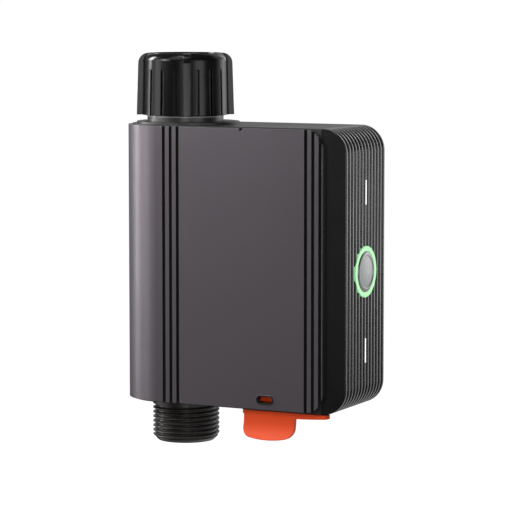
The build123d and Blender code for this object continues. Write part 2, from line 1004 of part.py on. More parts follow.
def gearbox_outline(x, inset):
    """Outline of the gearbox on a plane across X, drawn in by an inset."""
    with BuildSketch(Plane.YZ.offset(x)) as outline:
        with Locations((0, (gearbox_bottom + gearbox_top) / 2)):
            RectangleRounded(
                2 * (gearbox_half_depth - inset),
                gearbox_top - gearbox_bottom - 2 * inset,
                gearbox_lug_r - inset,
            )
    return outline.sketch


with BuildPart() as gearbox_base:
    extrude(gearbox_outline(gearbox_base_x, 0), amount=gearbox_cover_x - gearbox_base_x)
    extrude(
        gearbox_outline(gearbox_inner_x, gearbox_wall),
        amount=gearbox_cover_x - gearbox_inner_x,
        mode=Mode.SUBTRACT,
    )
    for corner in gearbox_corners:
        extrude(
            circle_face(Plane.YZ.offset(gearbox_base_x), corner, gearbox_lug_r),
            amount=gearbox_cover_x - gearbox_base_x,
        )
        extrude(
            circle_face(Plane.YZ.offset(gearbox_inner_x), corner, gearbox_screw_r),
            amount=gearbox_cover_x - gearbox_inner_x,
            mode=Mode.SUBTRACT,
        )
    extrude(
        circle_face(Plane.YZ.offset(gearbox_base_x), output_axis, stem_r + moving_gap),
        amount=gearbox_plate,
        mode=Mode.SUBTRACT,
    )
    for shaft_axis in (first_axis, second_axis):
        extrude(
            circle_face(Plane.YZ.offset(shaft_start_x), shaft_axis, gear_shaft_r),
            amount=gearbox_plate,
            mode=Mode.SUBTRACT,
        )
finish(gearbox_base, "gearbox_base")

with BuildPart() as gearbox_cover:
    extrude(gearbox_outline(gearbox_cover_x, 0), amount=gearbox_plate)
    cover_holes = [
        (output_axis, stem_journal_r + shaft_clearance),
        (first_axis, gear_shaft_r),
        (second_axis, gear_shaft_r),
        (motor_axis, motor_nose_r),
    ]
    cover_holes += [(corner, gearbox_screw_r) for corner in gearbox_corners]
    cover_holes += [(place, motor_screw_r) for place in motor_screw_places]
    for place, radius in cover_holes:
        extrude(
            circle_face(Plane.YZ.offset(gearbox_cover_x), place, radius),
            amount=gearbox_plate,
            mode=Mode.SUBTRACT,
        )
    for place in motor_screw_places:
        extrude(
            circle_face(Plane.YZ.offset(gearbox_cover_x), place, motor_screw_head_r),
            amount=motor_screw_head,
            mode=Mode.SUBTRACT,
        )
finish(gearbox_cover, "gearbox_cover")

with BuildPart() as gearbox_screws:
    for corner in gearbox_corners:
        extrude(
            circle_face(Plane.YZ.offset(motor_x), corner, gearbox_screw_head_r),
            amount=gearbox_screw_head,
        )
        extrude(
            circle_face(Plane.YZ.offset(gearbox_inner_x), corner, gearbox_screw_r),
            amount=motor_x - gearbox_inner_x,
        )
finish(gearbox_screws, "gearbox_screws")

with BuildPart() as gear_motor:
    with BuildSketch(Plane.YZ.offset(motor_x)):
        with Locations(motor_axis):
            Circle(motor_r)
            Rectangle(2 * motor_r, 2 * motor_r * motor_flat_share, mode=Mode.INTERSECT)
    extrude(amount=motor_length)
    extrude(
        circle_face(Plane.YZ.offset(motor_x - motor_nose), motor_axis, motor_nose_r), amount=motor_nose
    )
    extrude(
        circle_face(
            Plane.YZ.offset(motor_x - motor_nose), motor_axis, motor_shaft_r + shaft_clearance
        ),
        amount=motor_shaft_end_x + moving_gap - motor_x + motor_nose,
        mode=Mode.SUBTRACT,
    )
    for place in motor_screw_places:
        extrude(
            circle_face(Plane.YZ.offset(motor_x), place, motor_screw_r),
            amount=motor_screw_reach,
            mode=Mode.SUBTRACT,
        )
finish(gear_motor, "gear_motor")

with BuildPart() as motor_screws:
    for place in motor_screw_places:
        extrude(
            circle_face(Plane.YZ.offset(gearbox_cover_x), place, motor_screw_head_r),
            amount=motor_screw_head,
        )
        extrude(
            circle_face(Plane.YZ.offset(gearbox_cover_x), place, motor_screw_r),
            amount=motor_x + motor_screw_reach - gearbox_cover_x,
        )
finish(motor_screws, "motor_screws")

# Flow meter in the lower pipe: spindle in two spiders, an impeller and the magnet in its hub
upper_spider_bottom = meter_top - spider_height
impeller_top = upper_spider_bottom - impeller_gap
impeller_bottom = impeller_top - impeller_height
lower_spider_top = impeller_bottom - impeller_gap
lower_spider_bottom = lower_spider_top - spider_height
spider_rim_r = outlet_bore_r - slip_clearance / 2
for spider_name, spider_bottom in (
    ("upper_spider", upper_spider_bottom),
    ("lower_spider", lower_spider_bottom),
):
    with BuildPart() as spider:
        revolve(
            ring_profile(
                spider_rim_r - spider_rim, spider_rim_r, spider_bottom, spider_bottom + spider_height
            ),
            axis=Axis.Z,
        )
        with BuildSketch(Plane.XY.offset(spider_bottom)):
            Circle(spider_hub_r)
            with PolarLocations((spider_rim_r - spider_rim) / 2, spider_arms):
                Rectangle(spider_rim_r - spider_rim + spider_rim / 2, spider_arm)
        extrude(amount=spider_height)
        with BuildSketch(Plane.XY.offset(spider_bottom)):
            Circle(impeller_shaft_r)
        extrude(amount=spider_height, mode=Mode.SUBTRACT)
    finish(spider, spider_name)

with BuildPart() as impeller_shaft:
    revolve(
        ring_profile(
            0,
            impeller_shaft_r,
            lower_spider_bottom + spider_cap,
            upper_spider_bottom + spider_height - spider_cap,
        ),
        axis=Axis.Z,
    )
finish(impeller_shaft, "impeller_shaft")

blade_length = impeller_height / math.cos(math.radians(blade_lean)) + 2 * impeller_tip_r
with BuildPart() as blade_blank:
    with Locations(
        Location(
            (impeller_tip_r / 2 + magnet_r / 2, 0, (impeller_bottom + impeller_top) / 2),
            (blade_lean, 0, 0),
        )
    ):
        Box(impeller_tip_r + cut_over, blade_thickness, blade_length)

with BuildPart() as flow_impeller:
    with PolarLocations(0, impeller_blades):
        add(blade_blank.part)
    revolve(
        ring_profile(magnet_r, impeller_tip_r, impeller_bottom, impeller_top),
        axis=Axis.Z,
        mode=Mode.INTERSECT,
    )
    revolve(
        ring_profile(impeller_shaft_r + shaft_clearance, impeller_hub_r, impeller_bottom, impeller_top),
        axis=Axis.Z,
    )
    revolve(
        ring_profile(0, magnet_r + slip_clearance / 2, impeller_top - magnet_length, impeller_top),
        axis=Axis.Z,
        mode=Mode.SUBTRACT,
    )
finish(flow_impeller, "flow_impeller")

with BuildPart() as impeller_magnet:
    revolve(
        ring_profile(magnet_bore_r, magnet_r, impeller_top - magnet_length, impeller_top),
        axis=Axis.Z,
    )
finish(impeller_magnet, "impeller_magnet")

meter_chip_x = pipe_r + slip_clearance
meter_board_x = meter_chip_x + meter_chip_height
meter_board_end_x = meter_board_x + meter_board
meter_mid_z = impeller_top - magnet_length / 2
meter_post_heights = [
    meter_mid_z - meter_board_height / 2 + 2 * meter_post_r,
    meter_mid_z + meter_board_height / 2 - 2 * meter_post_r,
]
with BuildPart() as flow_sensor_board:
    box_between(
        (meter_board_x, meter_board_end_x),
        (-meter_board_half, meter_board_half),
        (meter_mid_z - meter_board_height / 2, meter_mid_z + meter_board_height / 2),
    )
    box_between(
        (meter_chip_x, meter_board_x),
        (-meter_chip / 2, meter_chip / 2),
        (meter_mid_z - meter_chip / 2, meter_mid_z + meter_chip / 2),
    )
finish(flow_sensor_board, "flow_sensor_board")

# Case: two halves that meet on the middle plane, open at the front end
case_screw_places = [
    (lower_screw_x, case_bottom + screw_inset_z),
    (lower_screw_x, case_bottom + screw_inset_z + screw_pitch_z),
    (upper_screw_x, case_top - upper_screw_inset_z),
    (upper_screw_x, case_top - upper_screw_inset_z - upper_screw_pitch_z),
]
hook_half_width = hook_width / 2 + moving_gap
with BuildPart() as case_blank:
    extrude(plan_face(case_bottom, case_half_depth, case_end_x), amount=case_height)
    chamfer(case_blank.faces().sort_by(Axis.Z)[-1].edges().sort_by(Axis.X)[:-1], case_edge)
    extrude(
        plan_face(case_floor_top, inner_half_depth, case_end_x + cut_over),
        amount=case_roof - case_floor_top,
        mode=Mode.SUBTRACT,
    )
    with BuildSketch(Plane.XY.offset(case_top)):
        with Locations(((boss_near_x + boss_far_x) / 2, 0)):
            SlotCenterToCenter(boss_far_x - boss_near_x, 2 * boss_r)
    extrude(amount=boss_height)
    box_between(
        (partition_x, partition_x + partition_wall),
        (-inner_half_depth, inner_half_depth),
        (case_floor_top, case_roof),
    )
    for post_y in (-meter_post_y, meter_post_y):
        for post_z in meter_post_heights:
            extrude(
                circle_face(Plane.YZ.offset(meter_board_end_x), (post_y, post_z), meter_post_r),
                amount=partition_x - meter_board_end_x,
            )
    box_between(
        (bay_left_x - bay_wall, case_end_x),
        (-inner_half_depth, inner_half_depth),
        (case_floor_top, bay_roof + bay_wall),
    )
    box_between(
        (bay_left_x, bay_right_x),
        (-bay_half_depth, bay_half_depth),
        (case_bottom - cut_over, bay_roof),
        mode=Mode.SUBTRACT,
    )
    for place in case_screw_places:
        extrude(
            circle_face(Plane.XZ.offset(-inner_half_depth), place, screw_boss_r),
            amount=2 * inner_half_depth,
        )
        extrude(
            circle_face(Plane.XZ.offset(-case_half_depth), place, screw_head_r + slip_clearance),
            amount=screw_head_height + slip_clearance,
            mode=Mode.SUBTRACT,
        )
        extrude(
            circle_face(Plane.XZ.offset(-case_half_depth), place, screw_r),
            amount=case_half_depth + screw_reach,
            mode=Mode.SUBTRACT,
        )
    extrude(
        circle_face(Plane.XY.offset(case_roof - cut_over), (0, 0), neck_r + slip_clearance),
        amount=case_floor + boss_height + 2 * cut_over,
        mode=Mode.SUBTRACT,
    )
    extrude(
        circle_face(Plane.XY.offset(case_bottom - cut_over), (0, 0), shoulder_r + slip_clearance),
        amount=case_floor + 2 * cut_over,
        mode=Mode.SUBTRACT,
    )
    extrude(
        circle_face(Plane.YZ.offset(partition_x), output_axis, stem_boss_r + slip_clearance),
        amount=partition_wall,
        mode=Mode.SUBTRACT,
    )
    box_between(
        (window_x - hook_half_width, window_x + hook_half_width),
        (-hook_tip_y - moving_gap, 0),
        (case_bottom - cut_over, window_z + hook_channel_rise),
        mode=Mode.SUBTRACT,
    )
    with BuildSketch(Plane.XZ.offset(hook_tip_y)):
        with Locations((window_x, window_z)):
            SlotOverall(window_length, window_height)
    extrude(amount=case_half_depth, mode=Mode.SUBTRACT)

with BuildPart() as front_case_half:
    add(case_blank.part)
    split(bisect_by=Plane.XZ, keep=Keep.TOP)
finish(front_case_half, "front_case_half")

with BuildPart() as rear_case_half:
    add(case_blank.part)
    split(bisect_by=Plane.XZ, keep=Keep.BOTTOM)
finish(rear_case_half, "rear_case_half")

screw_head_y = case_half_depth - slip_clearance
with BuildPart() as case_screws:
    for place in case_screw_places:
        extrude(
            circle_face(Plane.XZ.offset(-screw_head_y), place, screw_head_r), amount=screw_head_height
        )
        extrude(
            circle_face(Plane.XZ.offset(-screw_head_y), place, screw_r),
            amount=screw_head_y + screw_reach,
        )
finish(case_screws, "case_screws")

with BuildPart() as front_seal:
    with BuildSketch(Plane.YZ.offset(case_end_x)):
        with Locations((0, (case_bottom + case_top) / 2)):
            Rectangle(2 * (case_half_depth - case_edge), case_height - 2 * case_edge)
            Rectangle(2 * inner_half_depth, case_height - 2 * case_floor, mode=Mode.SUBTRACT)
    extrude(amount=seal_thickness)
finish(front_seal, "front_seal")

# Grey sheet: one folded shell with three grooves at each end of each side
groove_places = [left_groove_x + index * groove_pitch for index in range(groove_count)]
groove_places += [
    sheet_end_x - last_groove_inset - index * groove_pitch for index in range(groove_count)
]
sheet_start_x = end_centre_x - sheet_outer
with BuildPart() as wrap_shell:
    extrude(plan_face(sheet_bottom, sheet_outer, sheet_end_x), amount=sheet_height)
    extrude(
        plan_face(sheet_bottom, sheet_inner, sheet_end_x + cut_over),
        amount=sheet_height,
        mode=Mode.SUBTRACT,
    )
    extrude(
        front_face(
            sheet_outer + cut_over,
            sheet_start_x - cut_over,
            sheet_end_x,
            sheet_corner_r,
            sheet_bottom,
            sheet_top,
        ),
        amount=2 * (sheet_outer + cut_over),
        mode=Mode.INTERSECT,
    )
    for side in (-1, 1):
        outer_y = side * (sheet_outer + cut_over)
        floor_y = side * (sheet_outer - groove_depth)
        for groove_x in groove_places:
            box_between(
                (groove_x - groove_width / 2, groove_x + groove_width / 2),
                (min(outer_y, floor_y), max(outer_y, floor_y)),
                (sheet_bottom - cut_over, sheet_top + cut_over),
                mode=Mode.SUBTRACT,
            )
    box_between(
        (notch_x - notch_width / 2, notch_x + notch_width / 2),
        (-sheet_outer - cut_over, sheet_outer + cut_over),
        (sheet_top - notch_depth, sheet_top + cut_over),
        mode=Mode.SUBTRACT,
    )
    with BuildSketch(Plane.XZ.offset(sheet_outer)):
        with Locations((window_x, window_z)):
            SlotOverall(window_length + 2 * window_rim, window_height + 2 * window_rim)
    extrude(amount=window_rim_height)
    with BuildSketch(Plane.XZ.offset(case_half_depth)):
        with Locations((window_x, window_z)):
            SlotOverall(window_length, window_height)
    extrude(amount=sheet_outer, mode=Mode.SUBTRACT)
finish(wrap_shell, "wrap_shell")

# Finned front: a hollow cap with fins that run over its rounded top and bottom
fin_pitch = (2 * case_half_depth - fin_thickness) / (fin_count - 1)
strip_centres = [button_z - strip_offset_z, button_z + strip_offset_z]
board_screw_places = [
    (side * board_screw_y, height)
    for side in (-1, 1)
    for height in (
        board_bottom + board_screw_inset,
        board_bottom + board_height - board_screw_inset,
    )
]
with BuildPart() as one_fin:
    extrude(
        front_face(fin_thickness / 2, front_start_x, front_x, corner_r, case_bottom, case_top),
        amount=fin_thickness,
    )
    rim_edges = one_fin.edges().filter_by(Axis.Y, reverse=True)
    outer_edges = [edge for edge in rim_edges if edge.center().X > front_start_x + fin_edge]
    fillet(outer_edges, fin_edge)

with BuildPart() as finned_front:
    extrude(
        front_face(
            case_half_depth, front_start_x, fin_root_x, corner_r - fin_depth, case_bottom, case_top
        ),
        amount=2 * case_half_depth,
    )
    with Locations(
        *[(0, -case_half_depth + fin_thickness / 2 + index * fin_pitch, 0) for index in range(fin_count)]
    ):
        add(one_fin.part)
    extrude(
        front_face(
            inner_half_depth,
            front_start_x - cut_over,
            front_inner_x,
            corner_r - fin_depth - front_wall,
            case_floor_top,
            case_roof,
        ),
        amount=2 * inner_half_depth,
        mode=Mode.SUBTRACT,
    )
    for place in board_screw_places:
        extrude(
            circle_face(Plane.YZ.offset(board_face_x), place, board_post_r),
            amount=front_inner_x - board_face_x,
        )
        extrude(
            circle_face(Plane.YZ.offset(board_face_x), place, board_screw_r),
            amount=front_inner_x - board_face_x,
            mode=Mode.SUBTRACT,
        )
    extrude(
        circle_face(Plane.YZ.offset(front_inner_x), (0, button_z), ring_outer_r + slip_clearance / 2),
        amount=front_wall + fin_depth + cut_over,
        mode=Mode.SUBTRACT,
    )
    for strip_z in strip_centres:
        box_between(
            (front_inner_x - cut_over, front_x + cut_over),
            (-strip_width / 2, strip_width / 2),
            (strip_z - strip_height / 2, strip_z + strip_height / 2),
            mode=Mode.SUBTRACT,
        )
finish(finned_front, "finned_front")

# Button with its light ring, seal and switch
led_top_x = board_face_x + led_height
ring_back_x = led_top_x + moving_gap
switch_top_x = board_face_x + switch_height
plunger_top_x = switch_top_x + plunger_proud
button_back_x = front_x - button_body
button_stem_x = plunger_top_x + moving_gap
button_axis = Axis((0, 0, button_z), (1, 0, 0))
button_place = (0, button_z)
dome_radius = (button_r**2 + button_dome**2) / (2 * button_dome)
dome_mid_x = front_x + button_dome - dome_radius + math.sqrt(dome_radius**2 - (button_r / 2) ** 2)
with BuildPart() as light_ring:
    for start_x, end_x, radius in (
        (ring_back_x, front_x + ring_proud, ring_outer_r),
        (front_inner_x - ring_flange, front_inner_x, ring_flange_r),
    ):
        extrude(circle_face(Plane.YZ.offset(start_x), button_place, radius), amount=end_x - start_x)
    extrude(
        circle_face(Plane.YZ.offset(ring_back_x), button_place, ring_inner_r),
        amount=front_x + ring_proud - ring_back_x,
        mode=Mode.SUBTRACT,
    )
finish(light_ring, "light_ring")

with BuildPart() as power_button:
    with BuildSketch(Plane.XZ):
        with BuildLine():
            Polyline(
                (front_x + button_dome, button_z),
                (button_stem_x, button_z),
                (button_stem_x, button_z + button_stem_r),
                (button_back_x, button_z + button_stem_r),
                (button_back_x, button_z + button_r),
                (front_x, button_z + button_r),
            )
            ThreePointArc(
                (front_x, button_z + button_r),
                (dome_mid_x, button_z + button_r / 2),
                (front_x + button_dome, button_z),
            )
        make_face()
    revolve(axis=button_axis)
finish(power_button, "power_button")

with BuildPart() as button_seal_ring:
    with BuildSketch(Plane.YZ.offset(front_inner_x)):
        with Locations(button_place):
            Circle(ring_inner_r)
            Circle(button_stem_r + moving_gap, mode=Mode.SUBTRACT)
    extrude(amount=button_seal)
finish(button_seal_ring, "button_seal")

with BuildPart() as tact_switch:
    with BuildSketch(Plane.YZ.offset(board_face_x)):
        with Locations(button_place):
            Rectangle(switch_side, switch_side)
    extrude(amount=switch_height)
    extrude(
        circle_face(
            Plane.YZ.offset(switch_top_x - plunger_sink - button_travel),
            button_place,
            plunger_r + shaft_clearance,
        ),
        amount=plunger_sink + button_travel,
        mode=Mode.SUBTRACT,
    )
finish(tact_switch, "tact_switch")

with BuildPart() as switch_plunger:
    extrude(
        circle_face(Plane.YZ.offset(switch_top_x - plunger_sink), button_place, plunger_r),
        amount=plunger_sink + plunger_proud,
    )
finish(switch_plunger, "switch_plunger")

# Control board and what is on it
board_mid_z = board_bottom + board_height / 2
with BuildPart() as control_board:
    with BuildSketch(Plane.YZ.offset(board_back_x)):
        with Locations((0, board_mid_z)):
            RectangleRounded(2 * board_half_depth, board_height, board_corner)
        with Locations(*board_screw_places):
            Circle(board_screw_r, mode=Mode.SUBTRACT)
    extrude(amount=board_thickness)
finish(control_board, "control_board")

with BuildPart() as board_screws:
    for place in board_screw_places:
        extrude(
            circle_face(Plane.YZ.offset(board_back_x - board_screw_head), place, board_screw_head_r),
            amount=board_screw_head,
        )
        extrude(
            circle_face(Plane.YZ.offset(board_back_x), place, board_screw_r),
            amount=front_inner_x - board_back_x,
        )
finish(board_screws, "board_screws")

with BuildPart() as status_leds:
    with BuildSketch(Plane.YZ.offset(board_face_x)):
        with Locations(button_place):
            with PolarLocations((ring_inner_r + ring_outer_r) / 2, led_count):
                Rectangle(led_width, led_length)
        with Locations(*[(0, strip_z) for strip_z in strip_centres]):
            Rectangle(led_width, led_length)
    extrude(amount=led_height)
finish(status_leds, "status_leds")

with BuildPart() as light_strips:
    for strip_z in strip_centres:
        box_between(
            (led_top_x + moving_gap, front_x + strip_proud),
            (-strip_width / 2, strip_width / 2),
            (strip_z - strip_height / 2, strip_z + strip_height / 2),
        )
finish(light_strips, "light_strips")

radio_z = button_z + radio_rise
with BuildPart() as radio_module:
    for start_x, end_x, inset in (
        (board_face_x, board_face_x + radio_board, 0),
        (board_face_x + radio_board, board_face_x + radio_thickness, radio_shield_inset),
    ):
        box_between(
            (start_x, end_x),
            (radio_y - radio_half_depth + inset, radio_y + radio_half_depth - inset),
            (radio_z - radio_height_z / 2 + inset, radio_z + radio_height_z / 2 - inset),
        )
finish(radio_module, "radio_module")

antenna_top = board_bottom + board_height - board_corner
antenna_end_x = board_face_x + antenna_thickness
with BuildPart() as antenna:
    box_between(
        (board_face_x, antenna_end_x),
        (-antenna_half_depth, antenna_half_depth),
        (antenna_top - antenna_width, antenna_top),
    )
    for leg_y in (
        antenna_half_depth - antenna_width,
        antenna_half_depth - 2 * antenna_width - antenna_leg_gap,
    ):
        box_between(
            (board_face_x, antenna_end_x),
            (leg_y, leg_y + antenna_width),
            (antenna_top - antenna_height, antenna_top - antenna_width),
        )
finish(antenna, "antenna")

motor_end_x = motor_x + motor_length
with BuildPart() as motor_leads:
    for side in (-1, 1):
        lead_place = (motor_axis[0] + side * lead_spread, motor_axis[1])
        extrude(
            circle_face(Plane.YZ.offset(motor_end_x), lead_place, lead_r),
            amount=board_back_x - motor_end_x,
        )
finish(motor_leads, "motor_leads")

# Battery drawer: cover with its plug, front lip and pull tongue, tray, cells and contacts
tongue_bottom = lip_bottom - tongue_drop
tongue_start_z = cover_top - tongue_root
with BuildPart() as pull_tongue:
    with BuildSketch(Plane.YZ.offset(tongue_left_x)):
        with BuildLine():
            outer_top = (-lip_y, tongue_start_z)
            outer_bottom = (-lip_y - tongue_reach, tongue_bottom)
            outer_mid = (
                (outer_top[0] + outer_bottom[0]) / 2 + tongue_bow,
                (outer_top[1] + outer_bottom[1]) / 2,
            )
            inner_top, inner_mid, inner_bottom = [
                (point[0] + tongue_thickness, point[1]) for point in (outer_top, outer_mid, outer_bottom)
            ]
            ThreePointArc(outer_top, outer_mid, outer_bottom)
            Line(outer_bottom, inner_bottom)
            ThreePointArc(inner_bottom, inner_mid, inner_top)
            Line(inner_top, outer_top)
        make_face()
    extrude(amount=tongue_right_x - tongue_left_x)
    with BuildSketch(Plane.XZ) as tongue_front:
        with BuildLine():
            Polyline(
                (tongue_left_x, tongue_bottom + tongue_sag),
                (tongue_left_x, cover_top),
                (tongue_right_x, cover_top),
                (tongue_right_x, tongue_bottom + tongue_sag),
            )
            ThreePointArc(
                (tongue_right_x, tongue_bottom + tongue_sag),
                ((tongue_left_x + tongue_right_x) / 2, tongue_bottom),
                (tongue_left_x, tongue_bottom + tongue_sag),
            )
        make_face()
        fillet(tongue_front.vertices().group_by(Axis.Y)[0], tongue_corner_r)
    extrude(amount=2 * lip_y, mode=Mode.INTERSECT)

gasket_bottom = cover_top + gasket_rise
hook_pivot = (-hook_pivot_y, hook_pivot_z)
pin_start_x = window_x - hook_width / 2 - hook_pin_reach


def gasket_face(inset):
    """Rectangle of the plug's outline, drawn in by an inset, at the bottom of the gasket."""
    with BuildSketch(Plane.XY.offset(gasket_bottom)) as outline:
        with Locations((tray_mid_x, 0)):
            Rectangle(tray_length - 2 * inset, 2 * (plug_half_depth - inset))
    return outline.sketch


lip_mid_x = (lip_left_x + lip_right_x) / 2
with BuildPart() as front_lip:
    with BuildSketch(Plane.XY.offset(lip_bottom)):
        with Locations((lip_mid_x, lip_depth / 2 - lip_y)):
            SlotOverall(lip_right_x - lip_left_x, lip_depth)
    extrude(amount=lip_height)
    with BuildSketch(Plane.XZ) as lip_front:
        with BuildLine():
            Polyline(
                (lip_left_x, lip_bottom + lip_sag),
                (lip_left_x, cover_top),
                (lip_right_x, cover_top),
                (lip_right_x, lip_bottom + lip_sag),
            )
            ThreePointArc(
                (lip_right_x, lip_bottom + lip_sag),
                (lip_mid_x, lip_bottom),
                (lip_left_x, lip_bottom + lip_sag),
            )
        make_face()
        fillet(lip_front.vertices().group_by(Axis.Y)[0], lip_corner)
    extrude(amount=lip_y, mode=Mode.INTERSECT)

with BuildPart() as battery_cover:
    box_between(
        (tray_left_x, tray_right_x),
        (-plug_half_depth, plug_half_depth),
        (cover_top, plug_top),
    )
    box_between(
        (tray_left_x + plug_pocket_inset, tray_right_x - plug_pocket_inset),
        (-plug_half_depth + plug_pocket_inset, plug_half_depth - plug_pocket_inset),
        (cover_top + plug_floor, plug_top),
        mode=Mode.SUBTRACT,
    )
    extrude(
        gasket_face(-cut_over) - gasket_face(gasket_depth), amount=gasket_height, mode=Mode.SUBTRACT
    )
    box_between(
        (window_x - hook_half_width, window_x + hook_half_width),
        (-plug_half_depth - cut_over, -plug_half_depth + hook_recess),
        (cover_top, cover_top + hook_recess_height),
        mode=Mode.SUBTRACT,
    )
    extrude(
        circle_face(
            Plane.YZ.offset(pin_start_x - slip_clearance), hook_pivot, hook_pin_r + shaft_clearance
        ),
        amount=hook_width + 2 * (hook_pin_reach + slip_clearance),
        mode=Mode.SUBTRACT,
    )
    add(front_lip.part)
    add(pull_tongue.part)
finish(battery_cover, "battery_cover")

with BuildPart() as cover_gasket:
    extrude(gasket_face(0) - gasket_face(gasket_depth), amount=gasket_height)
finish(cover_gasket, "cover_gasket")

hook_inner_y = -hook_y + hook_thickness
with BuildPart() as latch_hook:
    with BuildSketch(Plane.YZ.offset(window_x - hook_width / 2)):
        with BuildLine():
            Polyline(
                (hook_inner_y, hook_pivot_z),
                (hook_inner_y, window_z + hook_nose / 2),
                (-hook_tip_y, window_z + hook_nose / 2),
                (-hook_tip_y, window_z - hook_nose / 2),
                (-hook_y, window_z - hook_nose / 2),
                (-hook_y, hook_pivot_z),
                close=True,
            )
        make_face()
        with Locations(hook_pivot):
            Circle(hook_barrel_r)
    extrude(amount=hook_width)
    fillet(latch_hook.edges().filter_by(Axis.X).group_by(Axis.Y)[0], hook_nose_round)
    extrude(
        circle_face(Plane.YZ.offset(pin_start_x), hook_pivot, hook_pin_r),
        amount=hook_width + 2 * hook_pin_reach,
    )
finish(latch_hook, "latch_hook")

left_cell_x = tray_mid_x - cell_x_offset
right_cell_x = tray_mid_x + cell_x_offset
contact_half = contact_width / 2
bridge_x_range = (right_cell_x - contact_half, right_cell_x + contact_half)
bridge_y_range = (-cell_y_offset - contact_half, cell_y_offset + contact_half)
terminal_places = [(left_cell_x, side * cell_y_offset) for side in (-1, 1)]
with BuildPart() as battery_tray:
    for bottom, top in ((plug_top, tray_floor_top), (tray_top - tray_plate, tray_top)):
        box_between(
            (tray_left_x, tray_right_x), (-tray_half_depth, tray_half_depth), (bottom, top)
        )
    for wall_x in (tray_left_x, tray_right_x - tray_wall):
        box_between(
            (wall_x, wall_x + tray_wall),
            (-tray_half_depth, tray_half_depth),
            (tray_floor_top, tray_top - tray_plate),
        )
    box_between(
        (tray_left_x, tray_right_x),
        (-tray_web / 2, tray_web / 2),
        (tray_floor_top, tray_top - tray_plate),
    )
    box_between(
        bridge_x_range, bridge_y_range, (cell_top, cell_top + contact_thickness), mode=Mode.SUBTRACT
    )
    for place in terminal_places:
        extrude(
            circle_face(Plane.XY.offset(tray_top - tray_plate), place, terminal_pin_r),
            amount=tray_plate,
            mode=Mode.SUBTRACT,
        )
finish(battery_tray, "battery_tray")


def battery_cell(x, y, nub_up):
    """One dry cell standing in the tray, with its nub at the top or at the bottom."""
    body_bottom = cell_bottom if nub_up else cell_bottom + cell_nub
    with BuildPart() as cell:
        extrude(
            circle_face(Plane.XY.offset(body_bottom), (x, y), cell_r), amount=cell_length - cell_nub
        )
        fillet(cell.edges().filter_by(GeomType.CIRCLE), cell_edge)
        extrude(circle_face(Plane.XY.offset(cell_bottom), (x, y), cell_nub_r), amount=cell_length)
    return cell


battery_1 = battery_cell(left_cell_x, -cell_y_offset, True)
finish(battery_1, "battery_1")
battery_2 = battery_cell(right_cell_x, -cell_y_offset, False)
finish(battery_2, "battery_2")
battery_3 = battery_cell(right_cell_x, cell_y_offset, True)
finish(battery_3, "battery_3")
battery_4 = battery_cell(left_cell_x, cell_y_offset, False)
finish(battery_4, "battery_4")

with BuildPart() as cell_contacts:
    for side in (-1, 1):
        row_y = side * cell_y_offset
        box_between(
            (left_cell_x - contact_half, right_cell_x + contact_half),
            (row_y - contact_half, row_y + contact_half),
            (tray_floor_top, tray_floor_top + contact_thickness),
        )
        for cell_x in (left_cell_x, right_cell_x):
            extrude(
                circle_face(
                    Plane.XY.offset(tray_floor_top + contact_thickness), (cell_x, row_y), contact_bump_r
                ),
                amount=contact_bump,
            )
        box_between(
            (left_cell_x - contact_half, left_cell_x + contact_half),
            (row_y - contact_half, row_y + contact_half),
            (cell_top, cell_top + contact_thickness),
        )
    box_between(bridge_x_range, bridge_y_range, (cell_top, cell_top + contact_thickness))
finish(cell_contacts, "cell_contacts")

with BuildPart() as tray_terminals:
    for place in terminal_places:
        with BuildSketch(Plane.XY.offset(tray_top)):
            with Locations(place):
                Rectangle(terminal_size, terminal_size)
        extrude(amount=contact_thickness)
        extrude(
            circle_face(Plane.XY.offset(tray_top - tray_plate), place, terminal_pin_r),
            amount=tray_plate,
        )
finish(tray_terminals, "tray_terminals")

leaf_start_x = left_cell_x - leaf_reach / 2
leaf_low_z = bay_roof - leaf_height
leaf_profile = [
    (0, bay_roof - leaf_thickness),
    (0, bay_roof),
    (leaf_foot, bay_roof),
    (leaf_reach - leaf_lip, leaf_low_z + leaf_thickness),
    (leaf_reach, leaf_low_z + leaf_thickness + leaf_lip_rise),
    (leaf_reach, leaf_low_z + leaf_lip_rise),
    (leaf_reach - leaf_lip, leaf_low_z),
    (leaf_foot, bay_roof - leaf_thickness),
]
with BuildPart() as bay_contacts:
    for side in (-1, 1):
        with BuildSketch(Plane.XZ.offset(leaf_width / 2 - side * cell_y_offset)):
            with BuildLine():
                Polyline(*[(leaf_start_x + x, z) for x, z in leaf_profile], close=True)
            make_face()
        extrude(amount=-leaf_width)
finish(bay_contacts, "bay_contacts")
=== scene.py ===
import math

